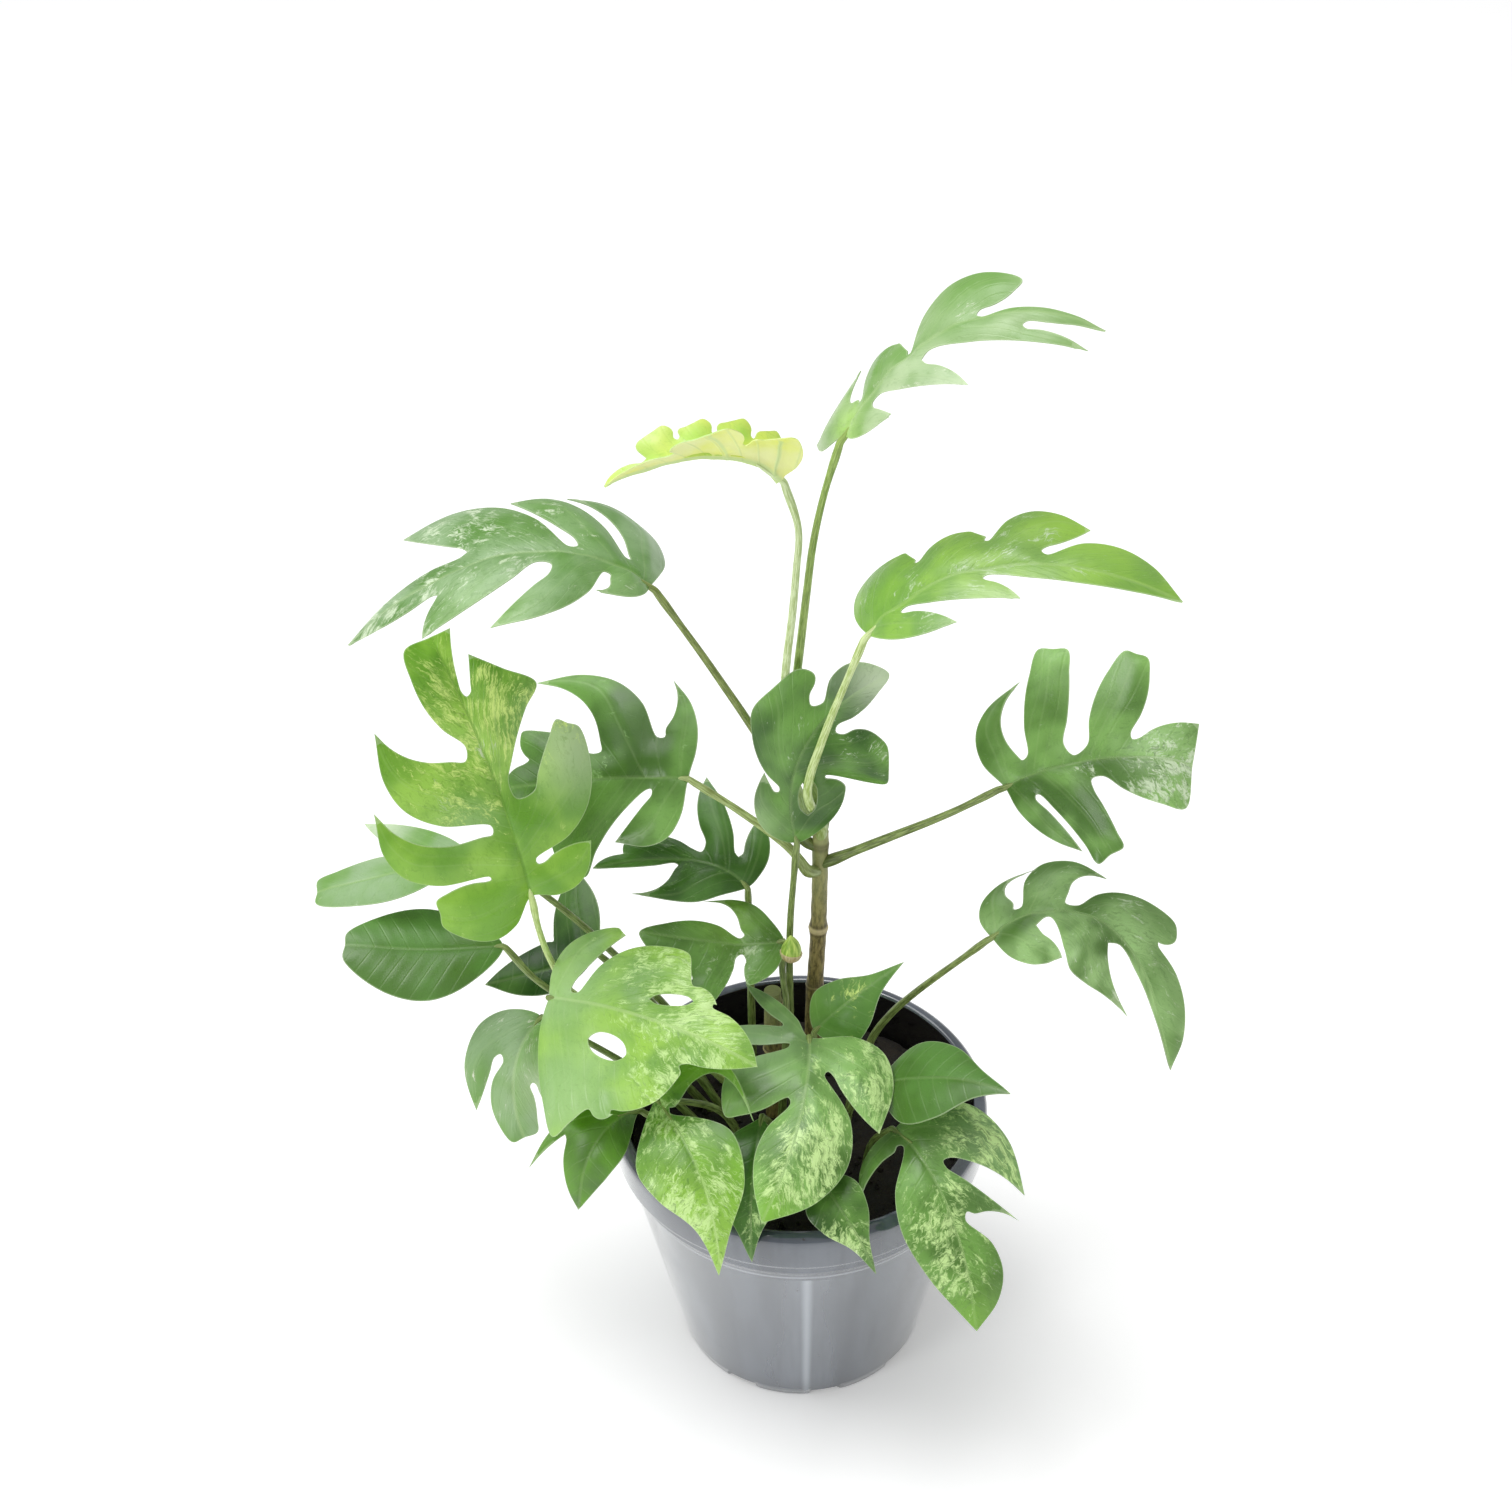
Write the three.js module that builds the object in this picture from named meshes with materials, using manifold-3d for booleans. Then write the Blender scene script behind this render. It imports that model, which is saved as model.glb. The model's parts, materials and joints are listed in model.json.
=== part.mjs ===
// Potted mini monstera: a grey nursery pot, its soil, three stems and two dozen lobed leaves on stalks.
// Millimetres, +Z up. The origin is the middle of the pot's underside; -Y is the front, +X the right.
import * as THREE from "three";
import { mergeVertices } from "three/addons/utils/BufferGeometryUtils.js";
import Module from "manifold-3d";

const wasm = await Module();
wasm.setup();

// ---------- Driving sizes, mm ----------
const POT = {
  height: 120.5,
  rimRadius: 75,
  mouthRadius: 69.3,
  bandBottom: 104,
  stepHeight: 97,
  bodyTopRadius: 70.6,
  footRadius: 51,
  wall: 2.2,
  floorUnder: 3.5,
  floorTop: 6,
  padRadius: 12,
  footWidth: 4,
  sides: 48,
};
const FOOT_FLARE = { out: 1, height: 4 };
const STEP = { out: 0.8, rise: 0.8, lean: 0.2, below: 1 };
const RIM = { under: 0.5, side: 4, shoulder: 2.8, round: 0.8, lip: 0.9, inner: 0.6, drop: 1.2 };
const INSIDE = { band: 0.4, foot: 0.8, rise: 2, floor: 1.5 };
const PAD_SLOPE = 2;
const FOOT_NOTCH = { count: 9, width: 12.5, height: 3.4, depth: 14, turn: 11 };
const DRAIN = { count: 6, radius: 4.5, ring: 33, drill: 20, sides: 14 };

const SOIL_TOP = 101;
const SOIL = { gap: 0.4, bump: 1.6, sides: 32, edge: 4, inset: 0.995, foot: 3, footIn: 0.6 };
const SOIL_RINGS = [1, 0.84, 0.66, 0.44, 0.22, 0];
const SOIL_WAVE = { x: 0.21, y: 0.19, slowX: 0.07, slowY: 0.31, slow: 0.6, shift: 1 };
const SOCKET = { gap: 0.6, under: 0.4, reach: 26, sides: 10 };
const FOOT_DEPTH = 12;

const SKIN = { edge: 0.45, vein: 0.8, rib: 1.5 };
const EDGE_STOPS = [0.25, 0.5, 0.75];
const STALK_GAP = 1.1;
const STALK = { foot: 1.9, top: 1.2, slim: 1.15, sides: 6, steps: 8 };
const STEM = { ring: 0.5, ringWidth: 0.02, sides: 9, steps: 26 };
const HOLE_SIDES = 8;

// ---------- Colours ----------
const GREEN = 0x5d9440;
const DEEP_GREEN = 0x3f7038;
const LIME = 0xc6dd62;
const STALK_GREEN = 0x7f8f45;
const STEM_BROWN = 0x847c58;

// ---------- Leaves ----------
// rib: base, middle and tip of the midrib. face: the way the upper side looks.
// cup and curl: degrees each half [left, right] is raised at the rib, and bends further per blade length.
// The rest is in blade lengths on the flat blade, [along the rib, out from it]:
//   a lobe has a root on the rib, a tip, and the swell of its [rear, forward] edges;
//   after it comes a gap, with the place of its bottom and its width there;
//   square gives a lobe a straight end of that width, lean slants that end, lift raises its tip.
// end: the last lobe, on the rib itself; ovate puts its widest part near the base.
// holes: [from, to, width] in each half.
const LEAVES = [
  {
    name: "crown", colour: GREEN,
    rib: [[16, 15, 405], [52, 5, 448], [96, -5, 450]],
    face: [0, 0.1, 1], cup: [30, -38], curl: [0, 0],
    left: [
      { root: 0.03, tip: [0.1, 0.2], swell: [0.2, -0.05], gap: [0.08, 0.05, 0.02] },
      { root: 0.18, tip: [0.27, 0.1], swell: [0.08, 0], gap: [0.29, 0.02, 0.02] },
      { root: 0.36, tip: [0.71, 0.14], swell: [0.13, 0.03], gap: [0.56, 0.02, 0.03] },
    ],
    right: [
      { root: 0.03, tip: [0.19, 0.16], swell: [0.04, 0], gap: [0.13, 0.03, 0.04] },
      { root: 0.18, tip: [0.51, 0.25], swell: [0.02, 0.01], gap: [0.34, 0.05, 0.05] },
      { root: 0.42, tip: [0.97, 0.1], swell: [0.04, 0.01], gap: [0.73, 0.05, 0.03] },
    ],
    end: { root: 0.6, swell: [0.02, 0.01] },
  },
  {
    name: "new", colour: LIME,
    rib: [[-4, 12, 392], [-28, 2, 404], [-61, -8, 400]],
    face: [0, 0.2, 0.97], cup: [45, 60], curl: [0, 0],
    left: [
      { root: 0.05, tip: [0.22, 0.26], swell: [0.06, 0.02], gap: [0.34, 0.15, 0.03], square: 0.14 },
      { root: 0.37, tip: [0.54, 0.26], swell: [0.03, 0.03], gap: [0.68, 0.12, 0.04], square: 0.16 },
    ],
    right: [
      { root: 0.03, tip: [0.12, 0.22], swell: [0.05, 0.01], gap: [0.22, 0.14, 0.03], square: 0.1 },
      { root: 0.25, tip: [0.33, 0.22], swell: [0.02, 0.02], gap: [0.44, 0.13, 0.03], square: 0.11 },
      { root: 0.46, tip: [0.54, 0.2], swell: [0.02, 0.02], gap: [0.63, 0.12, 0.03], square: 0.1 },
      { root: 0.65, tip: [0.73, 0.19], swell: [0.02, 0.03], gap: [0.79, 0.06, 0.04], square: 0.1 },
    ],
    end: { root: 0.72, swell: [0.04, 0.03] },
  },
  {
    name: "upper_left", colour: GREEN,
    rib: [[-49, 15, 349], [-95, 5, 367], [-153, 0, 336]],
    face: [0, -0.05, 1], cup: [-8, 8], curl: [-20, -25],
    left: [
      { root: 0.03, tip: [0.22, 0.15], swell: [0.05, -0.02], gap: [0.16, 0.05, 0.03] },
      { root: 0.22, tip: [0.59, 0.29], swell: [0.09, 0], gap: [0.37, 0.05, 0.07] },
      { root: 0.48, tip: [0.79, 0.21], swell: [0.03, 0.01], gap: [0.73, 0.06, 0.03] },
    ],
    right: [
      { root: 0.03, tip: [0.28, 0.31], swell: [0.3, -0.08], gap: [0.07, 0.08, 0.03] },
      { root: 0.14, tip: [0.48, 0.28], swell: [0.1, 0], gap: [0.27, 0.05, 0.05] },
      { root: 0.36, tip: [0.83, 0.34], swell: [0.09, 0.01], gap: [0.63, 0.08, 0.04] },
    ],
    end: { root: 0.62, swell: [0.03, 0.03] },
  },
  {
    name: "upper_right", colour: GREEN,
    rib: [[24, -8, 343], [67, -14, 372], [126, -20, 362]],
    face: [0, 0, 1], cup: [22, -20], curl: [-40, 0],
    left: [
      { root: 0.02, tip: [0.19, 0.2], swell: [0.15, 0], gap: [0.22, 0.13, 0.02] },
      { root: 0.17, tip: [0.41, 0.17], swell: [0.03, 0], gap: [0.45, 0.12, 0.02] },
      { root: 0.4, tip: [0.75, 0.17], swell: [0.09, 0.01], gap: [0.62, 0.06, 0.03] },
    ],
    right: [
      { root: 0.03, tip: [0.34, 0.18], swell: [0.06, 0.01], gap: [0.14, 0.02, 0.02] },
      { root: 0.18, tip: [0.56, 0.13], swell: [0.02, 0.01], gap: [0.44, 0.03, 0.02] },
    ],
    end: { root: 0.5, swell: [0.1, 0.04] },
  },
  {
    name: "back", colour: DEEP_GREEN,
    rib: [[0, 4, 245], [3, 7, 286], [33, 13, 313]],
    face: [0, -0.9, 0.4], cup: [0, 0], curl: [0, 0],
    left: [
      { root: 0.05, tip: [0.33, 0.14], swell: [0.1, 0], gap: [0.25, 0.06, 0.03] },
      { root: 0.3, tip: [0.64, 0.28], swell: [0.02, 0.05], gap: [0.68, 0.09, 0.07], square: 0.16, lean: -0.8 },
    ],
    right: [
      { root: 0.03, tip: [0.34, 0.25], swell: [0.1, 0.02], gap: [0.37, 0.15, 0.03] },
      { root: 0.36, tip: [0.82, 0.29], swell: [0.21, 0.05], gap: [0.66, 0.08, 0.05] },
    ],
    end: { root: 0.58, swell: [0.11, 0.05] },
    holes: { right: [[[0.13, 0.08], [0.34, 0.08], 0.09]] },
  },
  {
    name: "big_left", colour: GREEN,
    rib: [[-98, -5, 228], [-109, 5, 277], [-128, 20, 326]],
    face: [0.1, -0.75, 0.65], cup: [8, 8], curl: [-15, -15],
    left: [
      { root: 0.04, tip: [0.04, 0.32], swell: [0.12, 0.02], gap: [0.12, 0.12, 0.02], square: 0.12 },
      { root: 0.14, tip: [0.53, 0.42], swell: [0.16, -0.08], gap: [0.29, 0.07, 0.05] },
      { root: 0.34, tip: [0.8, 0.31], swell: [0.15, -0.04], gap: [0.58, 0.07, 0.07] },
    ],
    right: [
      { root: 0.04, tip: [0.17, 0.25], swell: [0.08, 0.02], gap: [0.13, 0.05, 0.03] },
      { root: 0.18, tip: [0.58, 0.3], swell: [0.1, 0.01], gap: [0.39, 0.05, 0.09], square: 0.08 },
      { root: 0.42, tip: [0.82, 0.17], swell: [-0.02, 0], gap: [0.78, 0.02, 0.03], square: 0.22, lean: -0.4 },
    ],
    end: { root: 0.58, swell: [0.05, -0.01], square: [0.1, 0.07] },
  },
  {
    name: "mid", colour: DEEP_GREEN,
    rib: [[-40, 18, 265], [-73, 25, 260], [-110, 30, 252]],
    face: [0, -0.6, 0.8], cup: [-12, 0], curl: [0, 0],
    left: [
      { root: 0.04, tip: [0.42, 0.33], swell: [0.18, 0], gap: [0.21, 0.06, 0.04] },
      { root: 0.3, tip: [0.6, 0.5], swell: [-0.04, 0.06], gap: [0.75, 0.26, 0.05] },
    ],
    right: [
      { root: 0.04, tip: [0.15, 0.53], swell: [0.09, -0.04], gap: [0.16, 0.22, 0.06] },
      { root: 0.25, tip: [0.83, 0.56], swell: [0.16, -0.08], gap: [0.5, 0.15, 0.08] },
      { root: 0.55, tip: [0.9, 0.3], swell: [0.04, 0.02], gap: [0.87, 0.14, 0.04] },
    ],
    end: { root: 0.65, swell: [0.05, 0.03] },
  },
  {
    name: "centre_back", colour: DEEP_GREEN,
    rib: [[-19, 22, 210], [-41, 28, 219], [-79, 30, 214]],
    face: [0, -0.5, 0.85], cup: [0, 0], curl: [0, 0],
    left: [
      { root: 0.2, tip: [0.83, 0.22], swell: [0.16, -0.06], gap: [0.57, 0.04, 0.04] },
    ],
    right: [
      { root: 0.03, tip: [0.2, 0.42], swell: [0.06, 0.02], gap: [0.2, 0.12, 0.05] },
      { root: 0.24, tip: [0.49, 0.58], swell: [0.01, 0.05], gap: [0.44, 0.07, 0.09] },
      { root: 0.5, tip: [0.8, 0.18], swell: [0.02, 0.02], gap: [0.86, 0.06, 0.02] },
    ],
    end: { root: 0.6, swell: [0.03, 0.02] },
  },
  {
    name: "centre_front", colour: GREEN,
    rib: [[-5, 12, 192], [-26, 9, 193], [-60, 6, 202]],
    face: [0, -0.5, 0.85], cup: [0, 0], curl: [0, 0],
    left: [
      { root: 0.05, tip: [0.38, 0.29], swell: [0.06, 0.02], gap: [0.41, 0.07, 0.07] },
      { root: 0.46, tip: [0.6, 0.42], swell: [0.02, 0.06], gap: [0.72, 0.28, 0.04] },
    ],
    right: [
      { root: 0.05, tip: [0.68, 0.29], swell: [0.15, -0.08], gap: [0.39, 0.07, 0.06] },
    ],
    end: { root: 0.5, swell: [0.06, 0.12] },
  },
  {
    name: "low_left", colour: GREEN,
    rib: [[-96, -5, 179], [-55, -30, 190], [-15, -50, 185]],
    face: [0, -0.6, 0.8], cup: [-5, -5], curl: [-10, -20],
    left: [
      { root: 0.03, tip: [0.22, 0.33], swell: [0.11, -0.01], gap: [0.1, 0.04, 0.05], square: 0.05 },
      { root: 0.17, tip: [0.57, 0.25], swell: [0.1, 0.02], gap: [0.72, 0.15, 0.02], square: 0.14 },
    ],
    right: [
      { root: 0.06, tip: [0.25, 0.48], swell: [0.06, 0.03], gap: [0.46, 0.4, 0.02], square: 0.22, lean: 0.3 },
      { root: 0.4, tip: [0.66, 0.29], swell: [0.02, 0.01], gap: [0.7, 0.13, 0.04] },
    ],
    end: { root: 0.5, swell: [0.04, 0.02] },
    holes: { left: [[[0.46, 0.08], [0.64, 0.13], 0.05]], right: [[[0.25, 0.14], [0.45, 0.16], 0.1]] },
  },
  {
    name: "low_outer", colour: GREEN,
    rib: [[-99, -4, 168], [-109, -20, 155], [-105, -38, 137]],
    face: [0, -0.7, 0.7], cup: [0, 0], curl: [0, 0],
    left: [
      { root: 0.08, tip: [0.95, 0.32], swell: [0.07, 0.01], gap: [0.6, 0.16, 0.05] },
    ],
    right: [
      { root: 0.03, tip: [0.76, 0.32], swell: [0.26, 0.03], gap: [0.4, 0.14, 0.08] },
    ],
    end: { root: 0.3, swell: [0.04, 0.09], square: [0.12, 0.1] },
  },
  {
    name: "front_left", colour: GREEN,
    rib: [[-54, -38, 158], [-36, -68, 144], [-30, -88, 116]],
    face: [0, -0.7, 0.7], cup: [0, 0], curl: [-10, -10],
    left: [
      { root: 0.03, tip: [0.36, 0.38], swell: [0.26, -0.18], gap: [0.08, 0.03, 0.04], lift: 0.14 },
    ],
    right: [],
    end: { root: 0.12, swell: [0.25, 0.3], ovate: true },
  },
  {
    name: "front_centre", colour: GREEN,
    rib: [[4, -20, 172], [0, -55, 163], [-14, -86, 142]],
    face: [0, -0.5, 0.85], cup: [-5, -5], curl: [-15, -15],
    left: [
      { root: 0.05, tip: [0.46, 0.4], swell: [0.24, 0.03], gap: [0.21, 0.1, 0.04] },
    ],
    right: [
      { root: 0.02, tip: [-0.42, 0.32], swell: [0.04, 0.02], gap: [-0.09, 0.13, 0.02] },
      { root: 0.05, tip: [-0.14, 0.46], swell: [0.01, 0.06], gap: [0.04, 0.1, 0.04] },
      { root: 0.14, tip: [0.57, 0.36], swell: [0.18, 0.02], gap: [0.39, 0.08, 0.05] },
    ],
    end: { root: 0.42, swell: [0.25, 0.13] },
  },
  {
    name: "front_right", colour: GREEN,
    rib: [[35, -42, 145], [53, -70, 136], [65, -95, 93]],
    face: [0.1, -0.75, 0.65], cup: [0, 0], curl: [-10, -10],
    left: [
      { root: 0.05, tip: [0.6, 0.36], swell: [0.19, -0.02], gap: [0.33, 0.08, 0.05] },
      { root: 0.36, tip: [0.68, 0.3], swell: [-0.01, -0.02], gap: [0.58, 0.08, 0.05] },
    ],
    right: [
      { root: 0.03, tip: [0.2, 0.31], swell: [0.15, -0.05], gap: [0.1, 0.05, 0.05] },
    ],
    end: { root: 0.45, swell: [0.14, 0.22] },
  },
  {
    name: "right_low", colour: DEEP_GREEN,
    rib: [[28, -30, 156], [54, -45, 173], [76, -58, 179]],
    face: [0, -0.4, 0.9], cup: [0, 0], curl: [-10, -10],
    left: [],
    right: [],
    end: { root: 0, swell: [0.27, 0.3], ovate: true },
  },
  {
    name: "right_up", colour: GREEN,
    rib: [[6, -8, 163], [20, -4, 175], [40, 0, 191]],
    face: [0, -0.6, 0.8], cup: [0, 0], curl: [0, 0],
    left: [],
    right: [],
    end: { root: 0, swell: [0.26, 0.32], ovate: true },
  },
  {
    name: "right_mid", colour: GREEN,
    rib: [[74, 0, 273], [105, -5, 288], [138, -10, 289]],
    face: [0, -0.55, 0.83], cup: [0, 0], curl: [0, -10],
    left: [
      { root: 0.02, tip: [0.2, 0.53], swell: [0.17, -0.08], gap: [0.13, 0.1, 0.05] },
      { root: 0.17, tip: [0.36, 0.67], swell: [0.03, 0.02], gap: [0.39, 0.05, 0.12], square: 0.12 },
      { root: 0.46, tip: [0.7, 0.6], swell: [0.04, 0.04], gap: [0.69, 0.11, 0.05], square: 0.1 },
    ],
    right: [
      { root: 0.03, tip: [0.36, 0.48], swell: [0.09, 0], gap: [0.15, 0.11, 0.03] },
      { root: 0.2, tip: [0.55, 0.52], swell: [0, 0], gap: [0.47, 0.1, 0.09], square: 0.2, lean: -0.2 },
    ],
    end: { root: 0.6, swell: [0.03, 0.05], square: [0.24, 0.24] },
  },
  {
    name: "right_lower", colour: GREEN,
    rib: [[72, -5, 207], [112, -15, 222], [136, -45, 177]],
    face: [0, -0.35, 0.94], cup: [0, 0], curl: [0, 0],
    left: [
      { root: 0.02, tip: [0.19, 0.23], swell: [0.1, -0.06], gap: [0.1, 0.07, 0.04] },
      { root: 0.14, tip: [0.42, 0.21], swell: [0.13, -0.04], gap: [0.3, 0.04, 0.08] },
      { root: 0.38, tip: [0.66, 0.26], swell: [0.04, 0.03], gap: [0.68, 0.14, 0.02] },
    ],
    right: [
      { root: 0.02, tip: [0.35, 0.25], swell: [0.12, 0], gap: [0.17, 0.05, 0.09] },
      { root: 0.24, tip: [0.84, 0.14], swell: [0.21, -0.03], gap: [0.57, 0.06, 0.08] },
    ],
    end: { root: 0.52, swell: [0.07, 0.01] },
  },
  {
    name: "far_left", colour: DEEP_GREEN,
    rib: [[-124, 22, 229], [-152, 24, 217], [-186, 25, 207]],
    face: [0, -0.3, 0.9], cup: [0, 0], curl: [0, 0],
    left: [],
    right: [
      { root: 0.15, tip: [0.75, 0.42], swell: [0.06, 0.02], gap: [0.52, 0.16, 0.04] },
    ],
    end: { root: 0.25, swell: [0.13, 0.03], square: [0.08, 0.08] },
  },
  {
    name: "left_low", colour: DEEP_GREEN,
    rib: [[-113, 8, 194], [-143, 5, 194], [-172, 2, 200]],
    face: [0, -0.4, 0.9], cup: [0, 0], curl: [0, 0],
    left: [],
    right: [],
    end: { root: 0, swell: [0.3, 0.26], square: [0.1, 0.08] },
  },
  {
    name: "shade_left", colour: DEEP_GREEN,
    rib: [[-80, 27, 174], [-100, 26, 165], [-125, 24, 160]],
    face: [0, -0.4, 0.9], cup: [0, 0], curl: [0, 0],
    left: [],
    right: [
      { root: 0.1, tip: [0, 0.8], swell: [0.15, 0.1], gap: [0.4, 0.25, 0.08] },
    ],
    end: { root: 0.15, swell: [0.21, 0.06] },
  },
  {
    name: "small_left", colour: GREEN,
    rib: [[-14, -42, 152], [-18, -66, 135], [-18, -80, 114]],
    face: [0, -0.5, 0.85], cup: [0, 0], curl: [0, 0],
    left: [],
    right: [],
    end: { root: 0, swell: [0.26, 0.3], ovate: true },
  },
  {
    name: "small_right", colour: GREEN,
    rib: [[6, -60, 139], [17, -76, 133], [28, -85, 113]],
    face: [0, -0.6, 0.8], cup: [0, 0], curl: [0, 0],
    left: [],
    right: [],
    end: { root: 0, swell: [0.26, 0.28], ovate: true },
  },
  {
    name: "hanging_left", colour: GREEN,
    rib: [[-61, -28, 141], [-76, -42, 140], [-85, -52, 112]],
    face: [-0.2, -0.7, 0.65], cup: [0, 0], curl: [0, 0],
    left: [],
    right: [
      { root: 0.2, tip: [0.87, 0.5], swell: [0.06, 0], gap: [0.6, 0.28, 0.05] },
    ],
    end: { root: 0.1, swell: [0.26, 0.05] },
  },
];

// ---------- Stems and stalks ----------
// A stem's joints are the heights, as shares of its length, where it swells into a ring.
const STEMS = [
  {
    name: "stem_main",
    path: [[5, 17, SOIL_TOP - FOOT_DEPTH], [6, 18, 150], [8, 18, 192], [9, 18, 240]],
    foot: 3.4, top: 3, joints: [0.2, 0.49, 0.69, 0.95],
  },
  {
    name: "stem_stub",
    path: [[-10, 10, SOIL_TOP - FOOT_DEPTH], [-10, 10, 130], [-10, 10, 168]],
    foot: 3.8, top: 3.4, joints: [0.3, 0.62, 0.93],
  },
  {
    name: "stem_front",
    path: [[10, -12, SOIL_TOP - FOOT_DEPTH], [9, -14, 118], [6, -17, 138]],
    foot: 3, top: 2.4, joints: [0.6],
  },
];

// Each stalk runs through these points and then to the base of the leaf of its name.
const STALKS = {
  crown: { path: [[10, 22, 246], [1, 24, 269], [0, 23, 296], [3, 20, 331], [8, 17, 373]] },
  new: { path: [[4, 20, 247], [-3, 18, 273], [-4, 17, 304], [-1, 15, 335], [1, 13, 362], [1, 12, 378]] },
  upper_left: { path: [[3, 18, 236], [-8, 18, 271], [-28, 17, 311]] },
  upper_right: { path: [[9, 14, 246], [4, 3, 269], [10, -5, 300]] },
  back: { path: [[-2, 8, SOIL_TOP - FOOT_DEPTH], [-3, 12, 130], [-3, 12, 195]] },
  big_left: { path: [[-14, 20, SOIL_TOP - FOOT_DEPTH], [-50, 18, 134], [-88, 15, 162], [-97, 7, 195]] },
  mid: { path: [[4, 12, 226], [-3, 11, 238], [-21, 15, 252]] },
  centre_back: { path: [[-19, 30, SOIL_TOP - FOOT_DEPTH], [-19, 30, 162], [-19, 29, 192]] },
  centre_front: { path: [[-8, 1, SOIL_TOP - FOOT_DEPTH], [-5, 3, 150], [-5, 8, 172], [-7, 13, 183]] },
  low_left: { path: [[-20, 2, SOIL_TOP - FOOT_DEPTH], [-50, 6, 140]] },
  low_outer: { path: [[-26, -4, SOIL_TOP - FOOT_DEPTH], [-60, -4, 135]] },
  front_left: { path: [[-18, -12, SOIL_TOP - FOOT_DEPTH], [-30, -20, 132]] },
  front_centre: { path: [[3, -14, 140]] },
  front_right: { path: [[24, -24, SOIL_TOP - FOOT_DEPTH], [28, -30, 125]] },
  right_low: { path: [[18, -10, SOIL_TOP - FOOT_DEPTH], [20, -18, 132]] },
  right_up: { path: [[6, -4, SOIL_TOP - FOOT_DEPTH], [5, -6, 135]] },
  right_mid: { path: [[13, 16, 228], [31, 12, 240], [56, 5, 258]] },
  right_lower: { path: [[16, 6, SOIL_TOP - FOOT_DEPTH], [30, 18, 136], [40, 14, 156]] },
  far_left: { path: [[-26, 32, SOIL_TOP - FOOT_DEPTH], [-60, 22, 160], [-100, 20, 212]] },
  left_low: { path: [[-28, 12, SOIL_TOP - FOOT_DEPTH], [-70, 12, 148], [-98, 6, 174]] },
  shade_left: { path: [[-32, 24, SOIL_TOP - FOOT_DEPTH], [-60, 26, 150]] },
  small_left: { path: [[-8, -24, SOIL_TOP - FOOT_DEPTH], [-10, -32, 135]] },
  small_right: { path: [[12, -30, SOIL_TOP - FOOT_DEPTH], [9, -42, 126]] },
  hanging_left: { path: [[-34, -18, SOIL_TOP - FOOT_DEPTH], [-50, -24, 128]] },
};

const BUD = { at: [-3, 4, 195], radius: 3.4, height: 12, sides: 10 };
const BUD_OUTLINE = [[0, -0.5], [0.7, -0.42], [1, -0.1], [0.8, 0.25], [0.35, 0.45], [0, 0.5]];

// ---------- Shared helpers ----------
function solid(name, geometry, colour, roughness) {
  const mesh = new THREE.Mesh(
    geometry,
    new THREE.MeshStandardMaterial({ color: colour, roughness, metalness: 0 }),
  );
  mesh.name = name;
  return mesh;
}

function welded(geometry) {
  geometry.deleteAttribute("normal");
  geometry.deleteAttribute("uv");
  return mergeVertices(geometry, 1e-4);
}

function toManifold(geometry) {
  const g = welded(geometry);
  return new wasm.Manifold(
    new wasm.Mesh({
      numProp: 3,
      vertProperties: g.getAttribute("position").array,
      triVerts: new Uint32Array(g.index.array),
    }),
  );
}

function fromManifold(manifold) {
  const mesh = manifold.getMesh();
  const geometry = new THREE.BufferGeometry();
  geometry.setAttribute("position", new THREE.BufferAttribute(mesh.vertProperties, 3));
  geometry.setIndex(new THREE.BufferAttribute(mesh.triVerts, 1));
  return geometry;
}

// Cuts every tool out of the body.
function carve(body, tools) {
  let cut = toManifold(body);
  for (const tool of tools) {
    cut = cut.subtract(toManifold(tool));
  }
  return fromManifold(cut);
}

const points = (rows) => rows.map((row) => new THREE.Vector3(...row));

// A closed round rod bent along a path; radiusAt gives its radius at each share of its length.
function bentRod(path, radiusAt, sides, steps) {
  const curve = new THREE.CatmullRomCurve3(path);
  const frames = curve.computeFrenetFrames(steps);
  const rod = new THREE.CylinderGeometry(1, 1, 1, sides, steps);
  const place = rod.getAttribute("position");
  for (let i = 0; i < place.count; i++) {
    const share = place.getY(i) + 0.5;
    const ring = Math.round(share * steps);
    const radius = radiusAt(share);
    const spot = curve.getPointAt(Math.min(share, 1));
    spot.addScaledVector(frames.normals[ring], place.getX(i) * radius);
    spot.addScaledVector(frames.binormals[ring], -place.getZ(i) * radius);
    place.setXYZ(i, spot.x, spot.y, spot.z);
  }
  return welded(rod);
}

// ---------- Pot ----------
function potShell() {
  const p = POT;
  const innerTop = p.bodyTopRadius - p.wall;
  const innerFoot = p.footRadius - p.wall;
  const profile = [
    [0, 0],
    [p.padRadius, 0],
    [p.padRadius + PAD_SLOPE, p.floorUnder],
    [p.footRadius - p.footWidth - PAD_SLOPE / 2, p.floorUnder],
    [p.footRadius - p.footWidth, 0],
    [p.footRadius, 0],
    [p.footRadius + FOOT_FLARE.out, FOOT_FLARE.height],
    [p.bodyTopRadius, p.stepHeight],
    [p.bodyTopRadius + STEP.out, p.stepHeight + STEP.rise],
    [p.bodyTopRadius + STEP.out + STEP.lean, p.bandBottom - STEP.below],
    [p.rimRadius - RIM.under, p.bandBottom],
    [p.rimRadius, p.height - RIM.side],
    [p.rimRadius - RIM.round, p.height - RIM.shoulder],
    [p.mouthRadius + RIM.lip, p.height],
    [p.mouthRadius, p.height],
    [p.mouthRadius - RIM.inner, p.height - RIM.drop],
    [innerTop + INSIDE.band, p.bandBottom],
    [innerTop, p.stepHeight],
    [innerFoot + INSIDE.foot, p.floorTop + INSIDE.rise],
    [innerFoot - INSIDE.floor, p.floorTop],
    [0, p.floorTop],
  ];
  const lathe = new THREE.LatheGeometry(
    profile.map(([radius, z]) => new THREE.Vector2(radius, z)),
    p.sides,
  );
  return lathe.rotateX(Math.PI / 2);
}

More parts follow.
